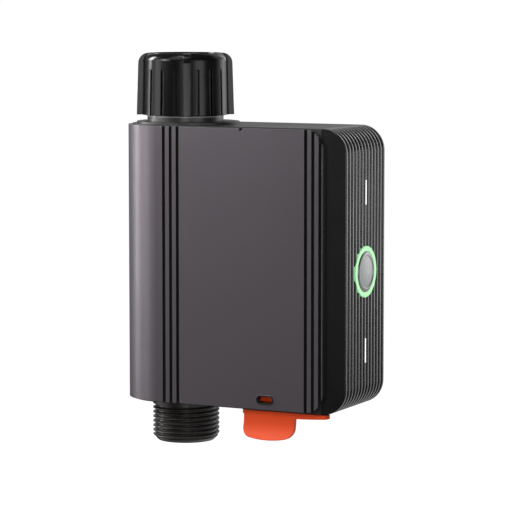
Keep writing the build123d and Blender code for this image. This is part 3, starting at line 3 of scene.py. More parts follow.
import bmesh
import bpy
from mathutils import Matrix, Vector


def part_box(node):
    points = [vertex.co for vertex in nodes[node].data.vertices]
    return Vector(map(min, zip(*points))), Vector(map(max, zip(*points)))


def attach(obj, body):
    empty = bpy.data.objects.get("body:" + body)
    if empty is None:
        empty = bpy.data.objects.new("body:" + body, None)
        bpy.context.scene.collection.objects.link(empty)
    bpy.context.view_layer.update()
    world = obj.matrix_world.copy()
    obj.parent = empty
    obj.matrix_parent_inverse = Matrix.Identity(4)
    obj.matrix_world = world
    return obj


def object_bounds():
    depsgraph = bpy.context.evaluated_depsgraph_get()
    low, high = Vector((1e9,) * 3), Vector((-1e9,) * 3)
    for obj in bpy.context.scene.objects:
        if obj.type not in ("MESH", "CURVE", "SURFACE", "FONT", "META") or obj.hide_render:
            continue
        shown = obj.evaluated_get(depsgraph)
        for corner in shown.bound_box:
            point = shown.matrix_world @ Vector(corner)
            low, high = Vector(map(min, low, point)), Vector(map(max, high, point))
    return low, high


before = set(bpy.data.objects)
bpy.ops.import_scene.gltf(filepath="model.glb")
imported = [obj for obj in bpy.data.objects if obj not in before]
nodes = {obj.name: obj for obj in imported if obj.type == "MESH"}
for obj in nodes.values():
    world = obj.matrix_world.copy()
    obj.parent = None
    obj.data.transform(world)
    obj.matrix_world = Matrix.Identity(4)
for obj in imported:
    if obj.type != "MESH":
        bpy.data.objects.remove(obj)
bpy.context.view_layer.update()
MM = 0.001

# Places read from the frame, in metres
button_low, button_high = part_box("power_button")
button_z = (button_low.z + button_high.z) / 2
front_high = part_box("finned_front")[1]
sheet_face_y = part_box("wrap_shell")[1].y
hook_above_window = 1.1 * MM
window_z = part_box("latch_hook")[1].z - hook_above_window


def linear(hex_colour):
    """An sRGB hex colour as linear RGBA."""
    shares = [int(hex_colour[start : start + 2], 16) / 255 for start in (1, 3, 5)]
    colour = [s / 12.92 if s <= 0.04045 else ((s + 0.055) / 1.055) ** 2.4 for s in shares]
    return (*colour, 1.0)


def add_node(tree, kind, settings=None, inputs=None):
    """Add a node, set its properties and fill its inputs with values or links."""
    node = tree.nodes.new(kind)
    for name, value in (settings or {}).items():
        setattr(node, name, value)
    for name, value in (inputs or {}).items():
        if isinstance(value, bpy.types.NodeSocket):
            tree.links.new(value, node.inputs[name])
        else:
            node.inputs[name].default_value = value
    return node


def new_material(name):
    """A material with a bare Principled surface, and where patterns read their place."""
    material = bpy.data.materials.new(name)
    material.use_nodes = True
    tree = material.node_tree
    tree.nodes.clear()
    surface = add_node(tree, "ShaderNodeBsdfPrincipled")
    add_node(tree, "ShaderNodeOutputMaterial", inputs={"Surface": surface.outputs["BSDF"]})
    place = add_node(tree, "ShaderNodeTexCoord").outputs["Object"]
    return material, tree, surface, place


def per_metre(size_mm):
    """Texture scale at which one cell of a pattern is this many millimetres."""
    return 1 / (size_mm * MM)


noise_range = (0.3, 0.7)  # where most values of a noise texture lie


def uneven_finish(tree, surface, pattern, base, shade, rough, rough_spread):
    """Let the surface's colour and its gloss drift a little with a pattern."""
    colour = add_node(
        tree,
        "ShaderNodeMix",
        {"data_type": "RGBA"},
        {"Factor": pattern, 6: linear(base), 7: linear(shade)},
    ).outputs[2]
    gloss = add_node(
        tree,
        "ShaderNodeMapRange",
        inputs={
            "Value": pattern,
            "From Min": noise_range[0],
            "From Max": noise_range[1],
            "To Min": rough - rough_spread,
            "To Max": rough + rough_spread,
        },
    ).outputs["Result"]
    tree.links.new(colour, surface.inputs["Base Color"])
    tree.links.new(gloss, surface.inputs["Roughness"])


# Real grain, cutting marks and flakes are finer than a pixel of the render, which is 0.4 mm of
# the object. They are drawn coarser than they are, at 0.2 mm and up, so that they show.
flow_mark_mm = 26
plastic_ior = 1.5
grain_strength = 0.6
cut_mark_strength = 0.3
cut_mark_depth_mm = 0.01
edge_samples = 4


def moulded(name, base, shade, rough, rough_spread, grain_mm, bump_mm, level=0.5, edge_mm=0.2):
    """Moulded plastic or rubber: fine grain, broad flow marks, uneven gloss, softened edges."""
    material, tree, surface, place = new_material(name)
    flow = add_node(
        tree,
        "ShaderNodeTexNoise",
        inputs={"Vector": place, "Scale": per_metre(flow_mark_mm), "Detail": 3.0},
    ).outputs["Fac"]
    uneven_finish(tree, surface, flow, base, shade, rough, rough_spread)
    grain = add_node(
        tree,
        "ShaderNodeTexNoise",
        inputs={"Vector": place, "Scale": per_metre(grain_mm), "Detail": 4.0, "Roughness": 0.6},
    ).outputs["Fac"]
    bump = add_node(
        tree,
        "ShaderNodeBump",
        inputs={"Height": grain, "Strength": grain_strength, "Distance": bump_mm * MM},
    )
    if edge_mm:
        rounded = add_node(
            tree, "ShaderNodeBevel", {"samples": edge_samples}, {"Radius": edge_mm * MM}
        )
        tree.links.new(rounded.outputs["Normal"], bump.inputs["Normal"])
    tree.links.new(bump.outputs["Normal"], surface.inputs["Normal"])
    surface.inputs["IOR"].default_value = plastic_ior
    surface.inputs["Specular IOR Level"].default_value = level
    return material


def metal(name, base, shade, rough, rough_spread, mark_mm, stretch=(1, 1, 1), metallic=1.0):
    """Bare or plated metal with the fine marks of its last cut or polish."""
    material, tree, surface, place = new_material(name)
    lines = add_node(
        tree, "ShaderNodeMapping", inputs={"Vector": place, "Scale": stretch}
    ).outputs["Vector"]
    marks = add_node(
        tree,
        "ShaderNodeTexNoise",
        inputs={"Vector": lines, "Scale": per_metre(mark_mm), "Detail": 5.0},
    ).outputs["Fac"]
    uneven_finish(tree, surface, marks, base, shade, rough, rough_spread)
    bump = add_node(
        tree,
        "ShaderNodeBump",
        inputs={
            "Height": marks,
            "Strength": cut_mark_strength,
            "Distance": cut_mark_depth_mm * MM,
        },
    ).outputs["Normal"]
    tree.links.new(bump, surface.inputs["Normal"])
    surface.inputs["Metallic"].default_value = metallic
    return material


# Spark-eroded ABS: an even dull black with broad soft lights
case_abs = moulded(
    "case_ABS_fine_texture", "#1c1c1d", "#161617",
    rough=0.42, rough_spread=0.05, grain_mm=0.35, bump_mm=0.012,
)
# ABS from a polished mould: deep black with narrow lights down the fins. Its edges aren't
# softened, so that fins this thin keep their lines of light.
front_abs = moulded(
    "front_ABS_gloss", "#101011", "#0c0c0d",
    rough=0.27, rough_spread=0.03, grain_mm=0.6, bump_mm=0.001, edge_mm=0,
)
# Smooth nylon: near black, with clear bright lines along the nut's ribs
nut_nylon = moulded(
    "nut_nylon_semi_gloss", "#070707", "#0a090a",
    rough=0.22, rough_spread=0.03, grain_mm=0.5, bump_mm=0.003, level=0.2, edge_mm=0.4,
)
# Glass-filled nylon: its fibres leave a slightly brown black with a dull sheen
pipe_nylon = moulded(
    "pipe_glass_filled_nylon", "#252321", "#1c1a18",
    rough=0.36, rough_spread=0.06, grain_mm=0.4, bump_mm=0.012,
)
# Satin ABS dyed orange: one strong even colour with a weak light on it
drawer_abs = moulded(
    "drawer_ABS_orange_satin", "#d24516", "#c84014",
    rough=0.48, rough_spread=0.05, grain_mm=0.35, bump_mm=0.01, level=0.2, edge_mm=0.5,
)
# Machined PTFE: a waxy white with soft lights
seat_ptfe = moulded(
    "seat_PTFE_machined", "#ecebe6", "#e4e3de",
    rough=0.4, rough_spread=0.05, grain_mm=0.5, bump_mm=0.006,
)
# Moulded acetal: a creamy white with a slippery shine
gear_acetal = moulded(
    "gear_acetal_moulded", "#e6dfcb", "#dcd4bd",
    rough=0.35, rough_spread=0.05, grain_mm=0.5, bump_mm=0.006,
)
# Textured ABS: a flat mid grey
gearbox_abs = moulded(
    "gearbox_ABS_grey", "#4e4e50", "#444446",
    rough=0.45, rough_spread=0.05, grain_mm=0.4, bump_mm=0.012,
)
# Textured ABS: a dull soft black, a little greyer than the case
tray_abs = moulded(
    "tray_ABS_black", "#262627", "#1e1e1f",
    rough=0.48, rough_spread=0.05, grain_mm=0.4, bump_mm=0.012,
)
# Smooth acetal: a pale grey line with a clean light
slip_acetal = moulded(
    "slip_ring_acetal_grey", "#8f8f92", "#858588",
    rough=0.3, rough_spread=0.04, grain_mm=0.5, bump_mm=0.004,
)
# Moulded epoxy: the dull charcoal of a chip's body
chip_epoxy = moulded(
    "chip_epoxy_moulded", "#1b1b1c", "#222223",
    rough=0.5, rough_spread=0.05, grain_mm=0.3, bump_mm=0.01,
)
# Nitrile rubber: a dead black with hardly any light on it
seal_rubber = moulded(
    "seal_nitrile_rubber", "#141414", "#1c1c1c",
    rough=0.6, rough_spread=0.08, grain_mm=0.5, bump_mm=0.02, level=0.3,
)
# EPDM rubber: a powdery dark grey
washer_rubber = moulded(
    "washer_EPDM_rubber", "#2a2a2c", "#222224",
    rough=0.62, rough_spread=0.08, grain_mm=0.5, bump_mm=0.02, level=0.3,
)
# Extruded PVC: a full red with a soft shine
lead_pvc = moulded(
    "lead_PVC_red", "#a8261c", "#98201a",
    rough=0.4, rough_spread=0.05, grain_mm=0.6, bump_mm=0.008,
)
# Cast epoxy: pale amber that looks wet
led_epoxy = moulded(
    "led_epoxy_lens", "#f4ecd0", "#efe4c0",
    rough=0.2, rough_spread=0.04, grain_mm=0.5, bump_mm=0.002,
)
# Solder mask over copper: glossy green with the tracks' relief just showing
board_mask = moulded(
    "board_solder_mask", "#1e5a34", "#174a2a",
    rough=0.3, rough_spread=0.05, grain_mm=1.6, bump_mm=0.02,
)

# Zinc plate on turned steel: a bright bluish grey with fine lines across it
steel_turned = metal(
    "steel_zinc_plated", "#b9bbc0", "#a3a5aa",
    rough=0.3, rough_spread=0.08, mark_mm=0.3, stretch=(1, 1, 6),
)
# Drawn stainless wire: an even bright light along each wire
mesh_steel = metal(
    "mesh_stainless_drawn", "#c4c5c8", "#aeb0b4",
    rough=0.26, rough_spread=0.06, mark_mm=0.2,
)
# Polished chrome: nearly a mirror
ball_chrome = metal(
    "ball_chrome_polished", "#d6d8da", "#cfd1d3",
    rough=0.08, rough_spread=0.03, mark_mm=0.8,
)
# Turned brass: a warm yellow with fine lines round it
stem_brass = metal(
    "stem_brass_turned", "#c8a25a", "#b58f4a",
    rough=0.28, rough_spread=0.06, mark_mm=0.3, stretch=(6, 1, 1),
)
# Nickel plate on spring strip: a bright, slightly warm grey
contact_nickel = metal(
    "contact_nickel_plated", "#c9c5b8", "#bcb8aa",
    rough=0.25, rough_spread=0.06, mark_mm=0.4,
)
# Bead-blasted aluminium: a soft pale grey with no sharp light
button_aluminium = metal(
    "button_aluminium_blasted", "#989298", "#868086",
    rough=0.44, rough_spread=0.05, mark_mm=0.25,
)
# Turned aluminium: a darker rim that catches one thin light
bezel_aluminium = metal(
    "bezel_aluminium_turned", "#7c787c", "#6a666a",
    rough=0.3, rough_spread=0.05, mark_mm=0.2,
)
# Sintered ferrite: a dull charcoal, hardly metallic
magnet_ferrite = metal(
    "magnet_ferrite_sintered", "#3a3a3c", "#2e2e30",
    rough=0.5, rough_spread=0.08, mark_mm=0.3, metallic=0.4,
)


# Painted shade on the sheet: black in its grooves and along their edges, and in its latch window
# The painted shade is a little wider than each groove, so that it reaches onto the face beside it
groove_shade_half_width = 0.68 * MM
groove_centres_mm = [0.55, 3.55, 6.55, 61.45, 64.45, 67.45]
window_x = 44.3 * MM
window_half_width = 3.8 * MM
window_half_height = 1.85 * MM
face_tolerance = 0.02 * MM


def groove_shade_mask(tree, place):
    """One where shade is painted: grooves, their edges and the latch window; else zero."""
    axes = add_node(tree, "ShaderNodeSeparateXYZ", inputs={"Vector": place})
    side = add_node(
        tree, "ShaderNodeMath", {"operation": "ABSOLUTE"}, {0: axes.outputs["Y"]}
    ).outputs["Value"]
    in_groove = None
    for centre in groove_centres_mm:
        hit = add_node(
            tree,
            "ShaderNodeMath",
            {"operation": "COMPARE"},
            {0: axes.outputs["X"], 1: centre * MM, 2: groove_shade_half_width},
        ).outputs["Value"]
        if in_groove is None:
            in_groove = hit
        else:
            in_groove = add_node(
                tree, "ShaderNodeMath", {"operation": "MAXIMUM"}, {0: in_groove, 1: hit}
            ).outputs["Value"]
    beside_window = add_node(
        tree,
        "ShaderNodeMath",
        {"operation": "COMPARE"},
        {0: axes.outputs["X"], 1: window_x, 2: window_half_width},
    ).outputs["Value"]
    level_with_window = add_node(
        tree,
        "ShaderNodeMath",
        {"operation": "COMPARE"},
        {0: axes.outputs["Z"], 1: window_z, 2: window_half_height},
    ).outputs["Value"]
    on_face = add_node(
        tree,
        "ShaderNodeMath",
        {"operation": "COMPARE"},
        {0: side, 1: sheet_face_y, 2: face_tolerance},
    ).outputs["Value"]
    near_window = add_node(
        tree,
        "ShaderNodeMath",
        {"operation": "MULTIPLY"},
        {0: beside_window, 1: level_with_window},
    ).outputs["Value"]
    # Painted shade on the window's walls; its raised rim, off the face, is painted black with them
    window_shade = add_node(
        tree, "ShaderNodeMath", {"operation": "GREATER_THAN"}, {0: near_window, 1: on_face}
    ).outputs["Value"]
    return add_node(
        tree, "ShaderNodeMath", {"operation": "MAXIMUM"}, {0: in_groove, 1: window_shade}
    ).outputs["Value"]


# Metallic paint sprayed on folded sheet: a satin warm grey that lightens towards the lamps.
# Real flakes are a few hundredths of a millimetre, and are drawn at 0.35 mm so that they show.
flake_mm = 0.35
flake_share = 0.25
flake_strength = 0.25
flake_depth_mm = 0.012
spray_drift_mm = 30
paint_metallic = 0.6
paint_range = (0.3, 0.9)  # where most values of drift and flakes together lie
paint_rough = (0.34, 0.42)
sheet_edge_mm = 0.3


def sheet_paint():
    """Satin metallic paint: fine flakes, a slow drift in tone, and black painted shade in its
    grooves and window.
    """
    material, tree, surface, place = new_material("sheet_metallic_paint_satin")
    flakes = add_node(
        tree,
        "ShaderNodeTexVoronoi",
        inputs={"Vector": place, "Scale": per_metre(flake_mm)},
    ).outputs["Distance"]
    drift = add_node(
        tree,
        "ShaderNodeTexNoise",
        inputs={"Vector": place, "Scale": per_metre(spray_drift_mm), "Detail": 2.0},
    ).outputs["Fac"]
    both = add_node(
        tree,
        "ShaderNodeMath",
        {"operation": "MULTIPLY_ADD"},
        {0: flakes, 1: flake_share, 2: drift},
    ).outputs["Value"]
    colour = add_node(
        tree,
        "ShaderNodeMix",
        {"data_type": "RGBA"},
        {"Factor": both, 6: linear("#605b60"), 7: linear("#565156")},
    ).outputs[2]
    # Painted shade: black, not metallic and fully rough in the grooves and the latch window
    painted_shade = groove_shade_mask(tree, place)
    colour = add_node(
        tree,
        "ShaderNodeMix",
        {"data_type": "RGBA"},
        {"Factor": painted_shade, 6: colour, 7: linear("#060606")},
    ).outputs[2]
    metallic = add_node(
        tree,
        "ShaderNodeMath",
        {"operation": "MULTIPLY_ADD"},
        {0: painted_shade, 1: -paint_metallic, 2: paint_metallic},
    ).outputs["Value"]
    gloss = add_node(
        tree,
        "ShaderNodeMapRange",
        inputs={
            "Value": both,
            "From Min": paint_range[0],
            "From Max": paint_range[1],
            "To Min": paint_rough[0],
            "To Max": paint_rough[1],
        },
    ).outputs["Result"]
    gloss = add_node(
        tree, "ShaderNodeMath", {"operation": "MAXIMUM"}, {0: gloss, 1: painted_shade}
    ).outputs["Value"]
    rounded = add_node(
        tree, "ShaderNodeBevel", {"samples": edge_samples}, {"Radius": sheet_edge_mm * MM}
    ).outputs["Normal"]
    bump = add_node(
        tree,
        "ShaderNodeBump",
        inputs={
            "Height": flakes,
            "Strength": flake_strength,
            "Distance": flake_depth_mm * MM,
            "Normal": rounded,
        },
    ).outputs["Normal"]
    tree.links.new(colour, surface.inputs["Base Color"])
    tree.links.new(gloss, surface.inputs["Roughness"])
    tree.links.new(bump, surface.inputs["Normal"])
    tree.links.new(metallic, surface.inputs["Metallic"])
    return material


speckle_mm = 1.2
speckle_reach_mm = 0.3
diffuser_rough = 0.4


def lit_diffuser(name, core, rim, strength, across, middle, core_mm, edge_mm):
    """Translucent diffuser lit from behind: pale along its middle, deeper at its edge."""
    material, tree, surface, place = new_material(name)
    from_middle = add_node(
        tree, "ShaderNodeVectorMath", {"operation": "SUBTRACT"}, {0: place, 1: middle}
    ).outputs[0]
    flat = add_node(
        tree, "ShaderNodeVectorMath", {"operation": "MULTIPLY"}, {0: from_middle, 1: across}
    ).outputs[0]
    distance = add_node(
        tree, "ShaderNodeVectorMath", {"operation": "LENGTH"}, {0: flat}
    ).outputs["Value"]
    speckle = add_node(
        tree,
        "ShaderNodeTexNoise",
        inputs={"Vector": place, "Scale": per_metre(speckle_mm), "Detail": 2.0},
    ).outputs["Fac"]
    uneven = add_node(
        tree,
        "ShaderNodeMath",
        {"operation": "MULTIPLY_ADD"},
        {0: speckle, 1: speckle_reach_mm * MM, 2: distance},
    ).outputs["Value"]
    towards_edge = add_node(
        tree,
        "ShaderNodeMapRange",
        inputs={"Value": uneven, "From Min": core_mm * MM, "From Max": edge_mm * MM},
    ).outputs["Result"]
    glow = add_node(
        tree,
        "ShaderNodeMix",
        {"data_type": "RGBA"},
        {"Factor": towards_edge, 6: linear(core), 7: linear(rim)},
    ).outputs[2]
    tree.links.new(glow, surface.inputs["Base Color"])
    tree.links.new(glow, surface.inputs["Emission Color"])
    surface.inputs["Emission Strength"].default_value = strength
    surface.inputs["Roughness"].default_value = diffuser_rough
    return material


sheet_finish = sheet_paint()
# Opal polycarbonate over green diodes: a soft glow, palest at the ring's inner edge
ring_glow = lit_diffuser(
    "ring_polycarbonate_lit_green", "#aee6b2", "#86dc90", strength=0.5,
    across=(0, 1, 1), middle=(0, 0, button_z), core_mm=9.5, edge_mm=10.2,
)
# Opal polycarbonate over white diodes: two thin lines that read as white
strip_glow = lit_diffuser(
    "strip_polycarbonate_lit_white", "#eef0f2", "#d6dade", strength=0.9,
    across=(0, 1, 0), middle=(0, 0, 0), core_mm=0.3, edge_mm=0.8,
)

cell_cap = 1.8 * MM
cell_band = 9 * MM
cell_rough = 0.32


def cell_sleeve():
    """Dry cell in a plain shrunk sleeve: dark, a brown band near each end, nickel at the ends."""
    material, tree, surface, place = new_material("cell_sleeve_over_nickel")
    low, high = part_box("battery_1")
    middle = (low.z + high.z) / 2
    half_sleeve = (high.z - low.z) / 2 - cell_cap
    height = add_node(tree, "ShaderNodeSeparateXYZ", inputs={"Vector": place}).outputs["Z"]
    from_middle = add_node(
        tree, "ShaderNodeMath", {"operation": "SUBTRACT"}, {0: height, 1: middle}
    ).outputs[0]
    away = add_node(
        tree, "ShaderNodeMath", {"operation": "ABSOLUTE"}, {0: from_middle}
    ).outputs[0]
    bare = add_node(
        tree, "ShaderNodeMath", {"operation": "GREATER_THAN"}, {0: away, 1: half_sleeve}
    ).outputs[0]
    band = add_node(
        tree,
        "ShaderNodeMath",
        {"operation": "GREATER_THAN"},
        {0: away, 1: half_sleeve - cell_band},
    ).outputs[0]
    sleeve = add_node(
        tree,
        "ShaderNodeMix",
        {"data_type": "RGBA"},
        {"Factor": band, 6: linear("#24262b"), 7: linear("#b0713a")},
    ).outputs[2]
    colour = add_node(
        tree,
        "ShaderNodeMix",
        {"data_type": "RGBA"},
        {"Factor": bare, 6: sleeve, 7: linear("#c6c4bd")},
    ).outputs[2]
    tree.links.new(colour, surface.inputs["Base Color"])
    tree.links.new(bare, surface.inputs["Metallic"])
    surface.inputs["Roughness"].default_value = cell_rough
    return material


# Nodes of each finish. The rest are steel: screws, shafts, motor can, radio shield, filter cup.
finished_nodes = (
    (case_abs, ("front_case_half", "rear_case_half")),
    (sheet_finish, ("wrap_shell",)),
    (front_abs, ("finned_front",)),
    (nut_nylon, ("swivel_nut",)),
    (pipe_nylon, ("valve_body", "inlet_tailpiece")),
    (slip_acetal, ("slip_ring",)),
    (washer_rubber, ("inlet_washer",)),
    (drawer_abs, ("battery_cover", "latch_hook")),
    (ring_glow, ("light_ring",)),
    (strip_glow, ("light_strips",)),
    (button_aluminium, ("power_button",)),
    (tray_abs, ("battery_tray",)),
    (ball_chrome, ("valve_ball",)),
    (stem_brass, ("valve_stem", "motor_pinion")),
    (magnet_ferrite, ("impeller_magnet",)),
    (led_epoxy, ("status_leds",)),
    (lead_pvc, ("motor_leads",)),
    (chip_epoxy, ("tact_switch",)),
    (board_mask, ("control_board", "flow_sensor_board")),
    (gearbox_abs, ("gearbox_base", "gearbox_cover")),
    (gear_acetal, ("output_gear", "first_gear", "second_gear", "switch_plunger")),
    (seat_ptfe, ("lower_seat", "upper_seat", "upper_spider", "lower_spider", "flow_impeller")),
    (seal_rubber, ("front_seal", "button_seal", "tailpiece_oring", "stem_orings", "cover_gasket")),
    (contact_nickel, ("antenna", "bay_contacts", "cell_contacts", "tray_terminals")),
    (cell_sleeve(), ("battery_1", "battery_2", "battery_3", "battery_4")),
)
finish_of = {name: finish for finish, names in finished_nodes for name in names}
for name, node in nodes.items():
    node.data.materials.clear()
    node.data.materials.append(finish_of.get(name, steel_turned))


def sized_tree(name, sizes):
    """An empty geometry tree with a named input for each size and one for the finish."""
    tree = bpy.data.node_groups.new(name, "GeometryNodeTree")
    for label, size in sizes.items():
        socket = tree.interface.new_socket(
            label, in_out="INPUT", socket_type="NodeSocketFloat"
        )
        socket.default_value = size
    tree.interface.new_socket("Finish", in_out="INPUT", socket_type="NodeSocketMaterial")
    tree.interface.new_socket("Geometry", in_out="OUTPUT", socket_type="NodeSocketGeometry")
    return tree


def made_by(tree, name, sizes, finish):
    """A plain mesh object made once by the tree at these sizes."""
    piece = bpy.data.objects.new(name, bpy.data.meshes.new(name))
    bpy.context.scene.collection.objects.link(piece)
    maker = piece.modifiers.new("maker", "NODES")
    maker.node_group = tree
    for item in tree.interface.items_tree:
        if item.in_out == "INPUT":
            maker[item.identifier] = finish if item.name == "Finish" else sizes[item.name]
    shaped = piece.evaluated_get(bpy.context.evaluated_depsgraph_get())
    made = bpy.data.meshes.new_from_object(shaped)
    piece.modifiers.remove(maker)
    piece.data = made
    return piece


# Inlet mesh: plain-woven stainless wire lying in the filter's cup, in metres. Such a mesh is often
# near 0.5 mm from wire to wire, and is drawn at 0.75 mm so that its weave shows.
screen_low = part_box("filter_screen")[0]
mesh_sizes = {
    "Disc Radius": 6.7 * MM,
    "Wire Radius": 0.11 * MM,
    "Spacing": 0.75 * MM,
    "Wave": 0.12 * MM,
    "Level": screen_low.z + 0.75 * MM,
}
mesh_stations = 96
mesh_sides = 6

tree = sized_tree("woven_wire_disc", mesh_sizes)
sizes_in = add_node(tree, "NodeGroupInput").outputs
wires_that_fit = add_node(
    tree,
    "ShaderNodeMath",
    {"operation": "DIVIDE"},
    {0: sizes_in["Disc Radius"], 1: sizes_in["Spacing"]},
).outputs[0]
wires_each_side = add_node(
    tree, "ShaderNodeMath", {"operation": "FLOOR"}, {0: wires_that_fit}
).outputs[0]
reach = add_node(
    tree,
    "ShaderNodeMath",
    {"operation": "MULTIPLY"},
    {0: wires_each_side, 1: sizes_in["Spacing"]},
).outputs[0]
far_side = add_node(
    tree, "ShaderNodeMath", {"operation": "MULTIPLY"}, {0: reach, 1: -1.0}
).outputs[0]
wire_count = add_node(
    tree, "ShaderNodeMath", {"operation": "MULTIPLY_ADD"}, {0: wires_each_side, 1: 2.0, 2: 1.0}
).outputs[0]
row_start = add_node(tree, "ShaderNodeCombineXYZ", inputs={"Y": far_side}).outputs[0]
row_step = add_node(tree, "ShaderNodeCombineXYZ", inputs={"Y": sizes_in["Spacing"]}).outputs[0]
row = add_node(
    tree,
    "GeometryNodeMeshLine",
    inputs={"Count": wire_count, "Start Location": row_start, "Offset": row_step},
).outputs[0]

# One straight wire across the disc, a row of them, and the same row turned a quarter
disc_left = add_node(
    tree, "ShaderNodeMath", {"operation": "MULTIPLY"}, {0: sizes_in["Disc Radius"], 1: -1.0}
).outputs[0]
wire_start = add_node(tree, "ShaderNodeCombineXYZ", inputs={"X": disc_left}).outputs[0]
wire_end = add_node(
    tree, "ShaderNodeCombineXYZ", inputs={"X": sizes_in["Disc Radius"]}
).outputs[0]
wire = add_node(
    tree, "GeometryNodeCurvePrimitiveLine", inputs={"Start": wire_start, "End": wire_end}
).outputs[0]
wire = add_node(
    tree, "GeometryNodeResampleCurve", inputs={"Curve": wire, "Count": mesh_stations}
).outputs[0]
warp = add_node(
    tree, "GeometryNodeInstanceOnPoints", inputs={"Points": row, "Instance": wire}
).outputs[0]
warp = add_node(tree, "GeometryNodeRealizeInstances", inputs={0: warp}).outputs[0]
weft = add_node(
    tree,
    "GeometryNodeTransform",
    inputs={"Geometry": warp, "Rotation": (0, 0, math.pi / 2)},
).outputs[0]

# The rows wave over and under each other once at every crossing
position = add_node(tree, "GeometryNodeInputPosition").outputs[0]
here = add_node(tree, "ShaderNodeSeparateXYZ", inputs={0: position}).outputs
swings = []
for side in ("X", "Y"):
    phase = add_node(
        tree, "ShaderNodeMath", {"operation": "DIVIDE"}, {0: here[side], 1: sizes_in["Spacing"]}
    ).outputs[0]
    phase = add_node(
        tree, "ShaderNodeMath", {"operation": "MULTIPLY"}, {0: phase, 1: math.pi}
    ).outputs[0]
    swings.append(
        add_node(tree, "ShaderNodeMath", {"operation": "COSINE"}, {0: phase}).outputs[0]
    )
swing = add_node(
    tree, "ShaderNodeMath", {"operation": "MULTIPLY"}, {0: swings[0], 1: swings[1]}
).outputs[0]
rise = add_node(
    tree, "ShaderNodeMath", {"operation": "MULTIPLY"}, {0: swing, 1: sizes_in["Wave"]}
).outputs[0]
dip = add_node(
    tree, "ShaderNodeMath", {"operation": "MULTIPLY"}, {0: rise, 1: -1.0}
).outputs[0]
woven = add_node(tree, "GeometryNodeJoinGeometry")
for wires, height in ((warp, rise), (weft, dip)):
    shift = add_node(tree, "ShaderNodeCombineXYZ", inputs={"Z": height}).outputs[0]
    bent = add_node(
        tree, "GeometryNodeSetPosition", inputs={"Geometry": wires, "Offset": shift}
    ).outputs[0]
    tree.links.new(bent, woven.inputs[0])

# Trim to the disc, give the wires their thickness and lift the weave into the cup
flat_place = add_node(
    tree, "ShaderNodeCombineXYZ", inputs={"X": here["X"], "Y": here["Y"]}
).outputs[0]
from_axis = add_node(
    tree, "ShaderNodeVectorMath", {"operation": "LENGTH"}, {0: flat_place}
).outputs["Value"]
outside = add_node(
    tree,
    "ShaderNodeMath",
    {"operation": "GREATER_THAN"},
    {0: from_axis, 1: sizes_in["Disc Radius"]},
).outputs[0]
trimmed = add_node(
    tree,
    "GeometryNodeDeleteGeometry",
    {"domain": "POINT"},
    {"Geometry": woven.outputs[0], "Selection": outside},
).outputs[0]
profile = add_node(
    tree,
    "GeometryNodeCurvePrimitiveCircle",
    inputs={"Resolution": mesh_sides, "Radius": sizes_in["Wire Radius"]},
).outputs[0]
round_wires = add_node(
    tree,
    "GeometryNodeCurveToMesh",
    inputs={"Curve": trimmed, "Profile Curve": profile, "Fill Caps": True},
).outputs[0]
lift = add_node(tree, "ShaderNodeCombineXYZ", inputs={"Z": sizes_in["Level"]}).outputs[0]
lifted = add_node(
    tree, "GeometryNodeTransform", inputs={"Geometry": round_wires, "Translation": lift}
).outputs[0]
whole = add_node(tree, "GeometryNodeRealizeInstances", inputs={0: lifted}).outputs[0]
finished = add_node(
    tree,
    "GeometryNodeSetMaterial",
    inputs={"Geometry": whole, "Material": sizes_in["Finish"]},
).outputs[0]
add_node(tree, "NodeGroupOutput", inputs={0: finished})
inlet_mesh = made_by(tree, "inlet_mesh", mesh_sizes, mesh_steel)
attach(inlet_mesh, "case")

# Button's bezel: a turned rim that stands a little proud of the dome. Each point of its closed
# profile is a share of the button's radius and a height over the dome in millimetres.
button_r = (button_high.y - button_low.y) / 2
dome_drop = 0.9 * MM
bezel_steps = 128
bezel_profile = [
    (0.77, -0.1),
    (0.785, 0.16),
    (0.82, 0.28),
    (0.92, 0.26),
    (0.985, 0.06),
    (0.99, -0.3),
]
turned = bmesh.new()
bezel_rings = []
for share, proud in bezel_profile:
    level = button_high.x - dome_drop * share**2 + proud * MM
    bezel_ring = []
    for step in range(bezel_steps):
        turn = 2 * math.pi * step / bezel_steps
        across, up = share * button_r * math.cos(turn), share * button_r * math.sin(turn)
        bezel_ring.append(turned.verts.new((level, across, button_z + up)))
    bezel_rings.append(bezel_ring)
for index, bezel_ring in enumerate(bezel_rings):
    beside = bezel_rings[index - 1]
    for step in range(bezel_steps):
        after = (step + 1) % bezel_steps
        turned.faces.new((bezel_ring[step], bezel_ring[after], beside[after], beside[step]))
bmesh.ops.recalc_face_normals(turned, faces=turned.faces)
bezel_mesh = bpy.data.meshes.new("button_bezel")
turned.to_mesh(bezel_mesh)
turned.free()
bezel_mesh.polygons.foreach_set("use_smooth", [True] * len(bezel_mesh.polygons))
bezel_mesh.materials.append(bezel_aluminium)
button_bezel = bpy.data.objects.new("button_bezel", bezel_mesh)
bpy.context.scene.collection.objects.link(button_bezel)
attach(button_bezel, "button")

# Stage: a pale floor that runs up into a backdrop, in metres
floor_drop = 0.09
floor_front_y, floor_back_y = -0.7, 1.2
floor_half_width = 2.2
bend_r, bend_steps = 0.5, 12
backdrop_height = 2.2
floor_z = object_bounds()[0][2] - floor_drop
stage_profile = [(floor_front_y, floor_z), (floor_back_y, floor_z)]
for step in range(1, bend_steps + 1):
    turn = math.radians(90 * step / bend_steps)
    stage_profile.append(
        (floor_back_y + bend_r * math.sin(turn), floor_z + bend_r * (1 - math.cos(turn)))
    )
stage_profile.append((floor_back_y + bend_r, floor_z + backdrop_height))
corners, faces = [], []
for y, z in stage_profile:
    corners += [(-floor_half_width, y, z), (floor_half_width, y, z)]
for index in range(len(stage_profile) - 1):
    faces.append((2 * index, 2 * index + 1, 2 * index + 3, 2 * index + 2))
stage_mesh = bpy.data.meshes.new("studio_floor")
stage_mesh.from_pydata(corners, [], faces)
stage_mesh.polygons.foreach_set("use_smooth", [True] * len(faces))
studio_floor = bpy.data.objects.new("studio_floor", stage_mesh)
bpy.context.scene.collection.objects.link(studio_floor)

